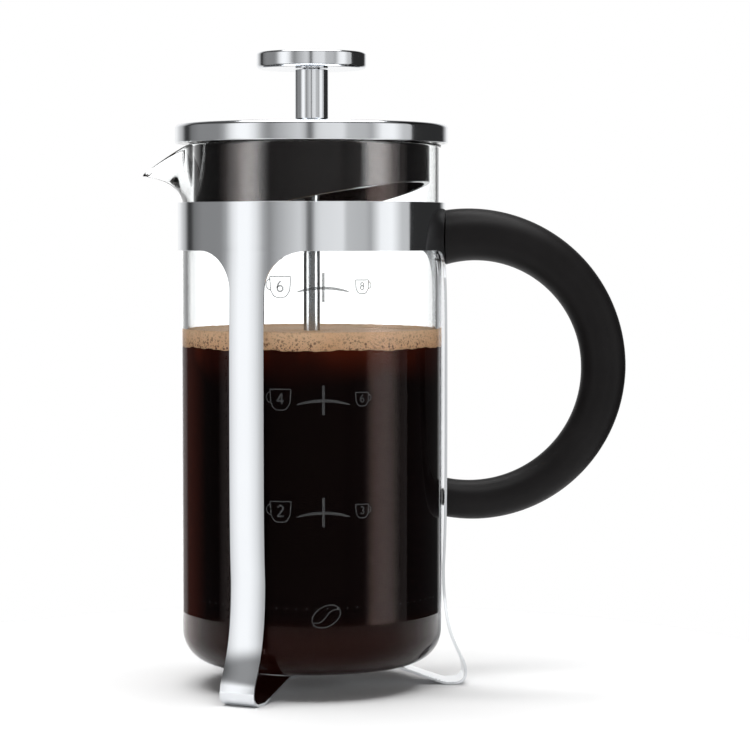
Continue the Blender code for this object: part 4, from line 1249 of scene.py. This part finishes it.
def ray_reach(centre, angles, outer, inner, half_angle, inset):
    """How far a ray from (centre, 0) goes before it leaves a sector of a ring.

    The sector lies between two circles and two sides at plus and minus the half angle, each moved in
    by the inset. The answer is the nearest of the four crossings.
    """
    dx, dy = np.cos(angles), np.sin(angles)
    reach = -centre * dx + np.sqrt((centre * dx) ** 2 - (centre**2 - outer**2))
    root = (centre * dx) ** 2 - (centre**2 - inner**2)
    near = -centre * dx - np.sqrt(np.maximum(root, 0))
    reach = np.where((root > 0) & (dx < 0), np.minimum(reach, near), reach)
    for sign in (1, -1):
        toward = sign * dy * math.cos(half_angle) - dx * math.sin(half_angle)
        away = centre * math.sin(half_angle) - inset
        reach = np.where(toward > 1e-9, np.minimum(reach, away / np.maximum(toward, 1e-9)), reach)
    return reach


def pierced_disc(name, outer, inner, height, count, centre, window):
    """A flat ring with one hole in each of its equal sectors.

    Rays leave the middle of the hole. Points run along each ray from the hole's edge to the edge of
    the sector, and the sectors meet because the rays are the same on both sides of each middle line.
    """
    half_angle = math.pi / count
    corners = [
        math.atan2(r * math.sin(half_angle), r * math.cos(half_angle) - centre) for r in (outer, inner)
    ]
    marks = [0.0, corners[0], corners[1], math.pi]
    upper = np.concatenate([np.linspace(a, b, 15)[:-1] for a, b in zip(marks[:-1], marks[1:])])
    angles = np.concatenate([upper, [math.pi], -upper[:0:-1]])
    edge = ray_reach(centre, angles, outer, inner, half_angle, 0.0)
    hole = window(angles)
    share = np.linspace(0, 1, 5)[:, None]
    reach = hole + (edge - hole) * share
    x, y = centre + reach * np.cos(angles), reach * np.sin(angles)
    parts = []
    for i in range(count):
        turn = TAU * i / count
        points = np.stack(
            [
                AXIS_X + x * math.cos(turn) - y * math.sin(turn),
                x * math.sin(turn) + y * math.cos(turn),
                np.full_like(x, height),
            ],
            2,
        )
        parts.append((points, grid_faces(5, len(angles), False, True)))
    piece = mesh_object(name, parts)
    if piece.data.polygons[0].normal.z < 0:
        piece.data.flip_normals()
    return piece


class PRESS_OT_filter(bpy.types.Operator):
    """Stack the sprung disc, the wire cloth and the cross plate on the foot of the rod"""

    bl_idname = "press.filter"
    bl_label = "Filter"

    def execute(self, context):
        """The coiled wire is a helix bent round a circle, with a round section carried along it."""
        sizes = context.scene.press_sizes
        bore = THREAD_RADIUS + GAP
        middle = (DISC_RADIUS + GAP + 6.0 * MM) / 2
        piece = pierced_disc(
            "sprung_disc",
            DISC_RADIUS,
            bore,
            DISC_TOP,
            DISC_HOLES,
            middle,
            lambda a: np.full_like(a, DISC_HOLE_RADIUS),
        )
        thicken(piece, DISC_TOP - DISC_LOW)
        soften(piece, 0.15 * MM)
        dress(piece, FINISHES["satin"], "plunger", "satin_steel", "spring_disc")

        outside = CROSS_RADIUS - CROSS_RIM_WIDTH
        centre = 0.55 * CROSS_RADIUS
        piece = pierced_disc(
            "cross_support",
            CROSS_RADIUS,
            bore,
            CROSS_TOP,
            4,
            centre,
            lambda a: ray_reach(centre, a, outside, 0.21 * CROSS_RADIUS, math.pi / 4, CROSS_ARM_WIDTH / 2),
        )
        thicken(piece, CROSS_TOP - CROSS_LOW)
        soften(piece, 0.15 * MM)
        dress(piece, FINISHES["satin"], "plunger", "satin_steel", "cross_plate")

        # The wire cloth's edge is turned up and touches the glass.
        brim = GLASS_INSIDE + 0.12 * MM
        cloth = [(bore, WEAVE_LOW, 0.0), (bore, WEAVE_TOP, 0.1 * MM), (WEAVE_RADIUS, WEAVE_TOP, 0.6 * MM)]
        cloth += [(brim - 0.4 * MM, WEAVE_TOP + 1.1 * MM, 0.2 * MM), (brim, WEAVE_TOP + 0.9 * MM, 0.2 * MM)]
        cloth += [(WEAVE_RADIUS + 0.6 * MM, WEAVE_LOW, 0.6 * MM)]
        piece = turned("wire_cloth_disc", rounded(cloth), 256)
        dress(piece, FINISHES["weave"], "plunger", "satin_steel", "mesh_filter")

        wire = sizes.wire_thickness / 2
        low, high = span("edge_spring", 2)
        ring = (DISC_RADIUS + GLASS_INSIDE + 0.13 * MM) / 2
        coil = GLASS_INSIDE + 0.13 * MM - ring - wire
        lift = (low + high) / 2 + wire
        turns = round(TAU * ring / sizes.coil_pitch)
        around = np.linspace(0, TAU, turns * 18, endpoint=False)
        twist = around * turns
        line = np.stack(
            [
                AXIS_X + (ring + coil * np.cos(twist)) * np.cos(around),
                (ring + coil * np.cos(twist)) * np.sin(around),
                lift + coil * np.sin(twist),
            ],
            1,
        )
        ahead = np.roll(line, -1, 0) - np.roll(line, 1, 0)
        ahead /= np.linalg.norm(ahead, axis=1)[:, None]
        out = np.stack([np.cos(twist) * np.cos(around), np.cos(twist) * np.sin(around), np.sin(twist)], 1)
        side = np.cross(ahead, out)
        section = np.linspace(0, TAU, 8, endpoint=False)[:, None, None]
        grid = line[None] + wire * (np.cos(section) * out[None] + np.sin(section) * side[None])
        piece = mesh_object("coiled_wire", [(grid, grid_faces(8, len(line), True, True))])
        # The coil's darker steel is painted shade.
        dress(piece, FINISHES["rod"], "plunger", "polished_steel", "edge_spring")

        washer_radius = span("rod_washer", 1)[1]
        washer = [(bore, WASHER_LOW, 0.0), (bore, WASHER_TOP, 0.1 * MM)]
        washer += [(washer_radius, z, 0.3 * MM) for z in (WASHER_TOP, WASHER_LOW)]
        piece = turned("stack_washer", rounded(washer), 64)
        dress(piece, FINISHES["satin"], "plunger", "satin_steel", "rod_washer")
        boss_radius = span("hub_nut", 1)[1]
        boss = [(bore, BOSS_LOW, 0.0), (bore, BOSS_TOP, 0.1 * MM), (boss_radius, BOSS_TOP, 0.2 * MM)]
        boss += [(boss_radius, BOSS_LOW + 0.8 * MM, 0.3 * MM), (boss_radius - 0.8 * MM, BOSS_LOW, 0.2 * MM)]
        piece = turned("screwed_boss", rounded(boss), 64)
        dress(piece, FINISHES["satin"], "plunger", "satin_steel", "hub_nut")
        return {"FINISHED"}


# ---- Contents ------------------------------------------------------------------------------------


class PRESS_OT_contents(bpy.types.Operator):
    """Pour the coffee and its foam"""

    bl_idname = "press.contents"
    bl_label = "Contents"

    def execute(self, context):
        """Turned bodies that fill the glass and reach just into its wall, so no air shows between them.

        The foam's lower edge is uneven: three sines of the angle added together. Its top is a
        shallow dish that climbs where it meets the glass.
        """
        sizes = context.scene.press_sizes
        if not sizes.filled:
            return {"FINISHED"}
        into = 0.1 * MM
        wall = GLASS_INSIDE + into
        corner = GLASS_CORNER - GLASS_WALL + into
        floor = GLASS_BOTTOM + GLASS_FLOOR - into
        top = GLASS_BOTTOM + sizes.fill_level
        line = top - sizes.foam_depth
        bend = np.linspace(0, -math.pi / 2, 14)
        outline = np.concatenate(
            [
                [[0.0, line + 1.5 * MM], [0.8 * wall, line + 1.5 * MM], [wall - 0.2 * MM, line + 1.5 * MM]],
                np.stack([np.full(20, wall), np.linspace(line + 1.4 * MM, floor + corner, 20)], 1),
                np.stack([wall - corner + corner * np.cos(bend), floor + corner * (1 + np.sin(bend))], 1)[1:],
                [[0.0, floor]],
            ]
        )
        dress(turned("coffee", outline, 192, False), FINISHES["coffee"], "glass", "clear_glass")

        angles = np.linspace(0, TAU, 360, endpoint=False)
        outline = [[0.0, top - 0.9 * MM], [0.4 * wall, top - 0.9 * MM], [0.8 * wall, top - 0.85 * MM]]
        outline += [[wall - 3 * MM, top - 0.7 * MM], [wall - 1 * MM, top - 0.35 * MM]]
        outline += [[wall - 0.2 * MM, top - 0.05 * MM]]
        outline += [[wall + 0.02 * MM, z] for z in np.linspace(top, line, 9)]
        outline += [[wall - 0.6 * MM, line + 0.4 * MM], [0.9 * wall, line + 1 * MM], [0.0, line + 1 * MM]]
        grid = turned_grid(np.array(outline), angles)
        low = np.clip((top - 0.5 * MM - grid[..., 2]) / sizes.foam_depth, 0, 1)
        wave = 0.5 * np.sin(9 * angles + 0.7) + 0.35 * np.sin(23 * angles + 2.1)
        wave = wave + 0.25 * np.sin(51 * angles + 4.0)
        grid[..., 2] += low * 0.45 * MM * wave[None]
        bubble = np.sin(41 * angles + 1.3) * np.sin(17 * angles) * (1 - low[:15].mean())
        grid[6:8, :, 2] += 0.12 * MM * bubble[None]
        piece = mesh_object("coffee_foam", [(grid, grid_faces(len(grid), 360, False, True))])
        dress(piece, FINISHES["foam"], "glass", "clear_glass")
        return {"FINISHED"}


# ---- Studio --------------------------------------------------------------------------------------


# Strips of light round the press as (degrees from the camera's side, strength)
STEEL_STRIPS = (
    (-180, 1.0), (-157, 1.0), (-139, 0.5), (-132, 0.05), (-126, 0.04), (-120, 0.2), (-108, 0.28),
    (-84, 0.28),
    (-78, 0.42), (-71, 0.94), (-64, 1.2), (-55, 1.2), (-48, 0.95), (-41, 0.44), (-36, 0.3), (-29, 0.46),
    (-10, 0.76), (-5, 0.56), (-3, 0.16), (0, 0.16), (3, 0.72), (8, 0.86), (26, 0.92), (30, 0.6), (46, 0.55),
    (51, 0.43), (61, 1.1), (72, 1.16), (83, 0.64), (93, 0.03), (144, 0.03), (160, 1.0),
)  # fmt: skip
GLASS_STRIPS = (
    (-180, 1.5), (-166, 1.5), (-160, 0.4), (-148, 0.3), (-142, 0.05), (-90, 0.04), (-74, 1.6), (-65, 4.2),
    (-55, 4.2), (-47, 1.4), (-40, 0.16), (-4, 0.24), (25, 0.26), (30, 0.16), (47, 0.3), (54, 4.4), (67, 5.2),
    (73, 3.4), (84, 0.5), (94, 0.04), (146, 0.04), (154, 0.5), (160, 1.5),
)  # fmt: skip


def strip_ramp(tree, turn, strips, side):
    """A ColorRamp round the whole turn whose stops are the strips, counted from one side."""
    node = add_node(tree, "ShaderNodeValToRGB", {0: turn})
    ramp = node.color_ramp
    stops = sorted(((side + degrees) / 360 % 1.0, light) for degrees, light in strips)
    ramp.elements.remove(ramp.elements[0])
    ramp.elements[0].position, ramp.elements[0].color = stops[0][0], (*[stops[0][1]] * 3, 1.0)
    for place, light in stops[1:]:
        ramp.elements.new(place).color = (light, light, light, 1.0)
    return node.outputs[0]


def room_world(strength):
    """A soft studio round the press, seen in the polished steel as upright light and dark strips.

    The strips depend on the direction round the upright line. They dim above the horizon, and a
    ring of soft light hangs high over the press. What clear glass mirrors or bends is a second set
    of strips. What the camera sees directly is plain white.
    """
    world = bpy.data.worlds.new("studio")
    bpy.context.scene.world = world
    world.use_nodes = True
    tree = world.node_tree
    tree.nodes.clear()
    direction = add_node(tree, "ShaderNodeTexCoord").outputs["Generated"]
    split = add_node(tree, "ShaderNodeSeparateXYZ", {0: direction})
    angle = maths(tree, "ARCTAN2", split.outputs[1], split.outputs[0])
    turn = maths(tree, "FRACT", maths(tree, "MULTIPLY_ADD", angle, 1 / TAU, 1.0))
    rays = add_node(tree, "ShaderNodeLightPath")
    steel = strip_ramp(tree, turn, STEEL_STRIPS, CAMERA_SIDE)
    glass = strip_ramp(tree, turn, GLASS_STRIPS, CAMERA_SIDE)
    strips = blend_colours(tree, rays.outputs["Is Singular Ray"], steel, glass)
    dim = spread(tree, split.outputs[2], 0.28, 0.52, 1.0, 0.28)
    strips = add_node(tree, "ShaderNodeVectorMath", {0: strips, "Scale": dim}, operation="SCALE").outputs[0]
    above = spread(tree, split.outputs[2], 0.82, 0.87, 0.0, 1.0)
    beside = spread(tree, split.outputs[2], 0.945, 0.97, 1.0, 0.04)
    light = blend_colours(tree, maths(tree, "MULTIPLY", above, beside), strips, (5.6, 5.6, 5.6, 1.0))
    shown = blend_colours(tree, rays.outputs["Is Camera Ray"], light, (1.0, 1.0, 1.0, 1.0))
    glow = add_node(tree, "ShaderNodeBackground", {0: shown, 1: strength})
    end = add_node(tree, "ShaderNodeOutputWorld")
    tree.links.new(glow.outputs[0], end.inputs[0])


class PRESS_OT_studio(bpy.types.Operator):
    """Lay the pale floor, light the room and set up the camera"""

    bl_idname = "press.studio"
    bl_label = "Studio"

    def execute(self, context):
        """The floor is a flat round grid: rings evenly spaced from the middle out."""
        angles = np.linspace(0, TAU, 64, endpoint=False)
        reach = FLOOR_RADIUS * np.linspace(0, 1, 12)
        outline = np.stack([reach[::-1], np.full(12, -0.0002)], 1)
        grid = turned_grid(outline, angles)
        floor = mesh_object("floor", [(grid, grid_faces(12, 64, False, True))])
        if floor.data.polygons[0].normal.z < 0:
            floor.data.flip_normals()
        made, tree, shader = new_material("pale_floor")
        greys = [(grey, grey, grey, 1.0) for grey in (0.93, 0.95)]
        pale = blend_colours(tree, cloud_noise(tree, 30.0, 30.0, 3.0), *greys)
        tree.links.new(pale, shader.inputs["Base Color"])
        shader.inputs["Roughness"].default_value = 0.9
        shader.inputs["Specular IOR Level"].default_value = 0.1
        floor.data.materials.append(made)
        room_world(context.scene.press_finish.room_light)
        context.scene.view_settings.view_transform = "Standard"

        lens = bpy.data.cameras.new("camera")
        lens.lens = CAMERA_LENS
        lens.sensor_width = 36.0
        camera = bpy.data.objects.new("camera", lens)
        context.scene.collection.objects.link(camera)
        side = math.radians(CAMERA_SIDE)
        x, y = AXIS_X + CAMERA_AWAY * math.cos(side), CAMERA_AWAY * math.sin(side)
        camera.location = (x, y, CAMERA_HEIGHT)
        camera.rotation_euler = (math.radians(90 - CAMERA_DIP), 0.0, side + math.radians(90 - CAMERA_TURN))
        context.scene.camera = camera
        return {"FINISHED"}


# ---- Panel and main ------------------------------------------------------------------------------


class PRESS_PT_panel(bpy.types.Panel):
    """The steps of the build, and the sizes and colours behind them"""

    bl_label = "French Press"
    bl_idname = "PRESS_PT_panel"
    bl_space_type = "VIEW_3D"
    bl_region_type = "UI"
    bl_category = "Press"

    def draw(self, context):
        column = self.layout.column(align=True)
        for step in STEPS:
            column.operator(step.bl_idname)
        for holder in (context.scene.press_sizes, context.scene.press_finish):
            box = self.layout.box()
            for name in holder.__annotations__:
                box.prop(holder, name)


STEPS = (
    PRESS_OT_studio,
    PRESS_OT_beaker,
    PRESS_OT_marks,
    PRESS_OT_stand,
    PRESS_OT_handle,
    PRESS_OT_lid,
    PRESS_OT_guide,
    PRESS_OT_knob,
    PRESS_OT_filter,
    PRESS_OT_contents,
)
CLASSES = (PressSizes, PressFinish, *STEPS, PRESS_PT_panel)


def register():
    for made in CLASSES:
        bpy.utils.register_class(made)
    bpy.types.Scene.press_sizes = bpy.props.PointerProperty(type=PressSizes)
    bpy.types.Scene.press_finish = bpy.props.PointerProperty(type=PressFinish)


def unregister():
    del bpy.types.Scene.press_finish
    del bpy.types.Scene.press_sizes
    for made in reversed(CLASSES):
        bpy.utils.unregister_class(made)


def main():
    """Builds every piece in order."""
    register()
    make_finishes()
    for step in STEPS:
        group, name = step.bl_idname.split(".")
        getattr(getattr(bpy.ops, group), name)()
    bpy.context.view_layer.update()


if __name__ == "__main__":
    main()
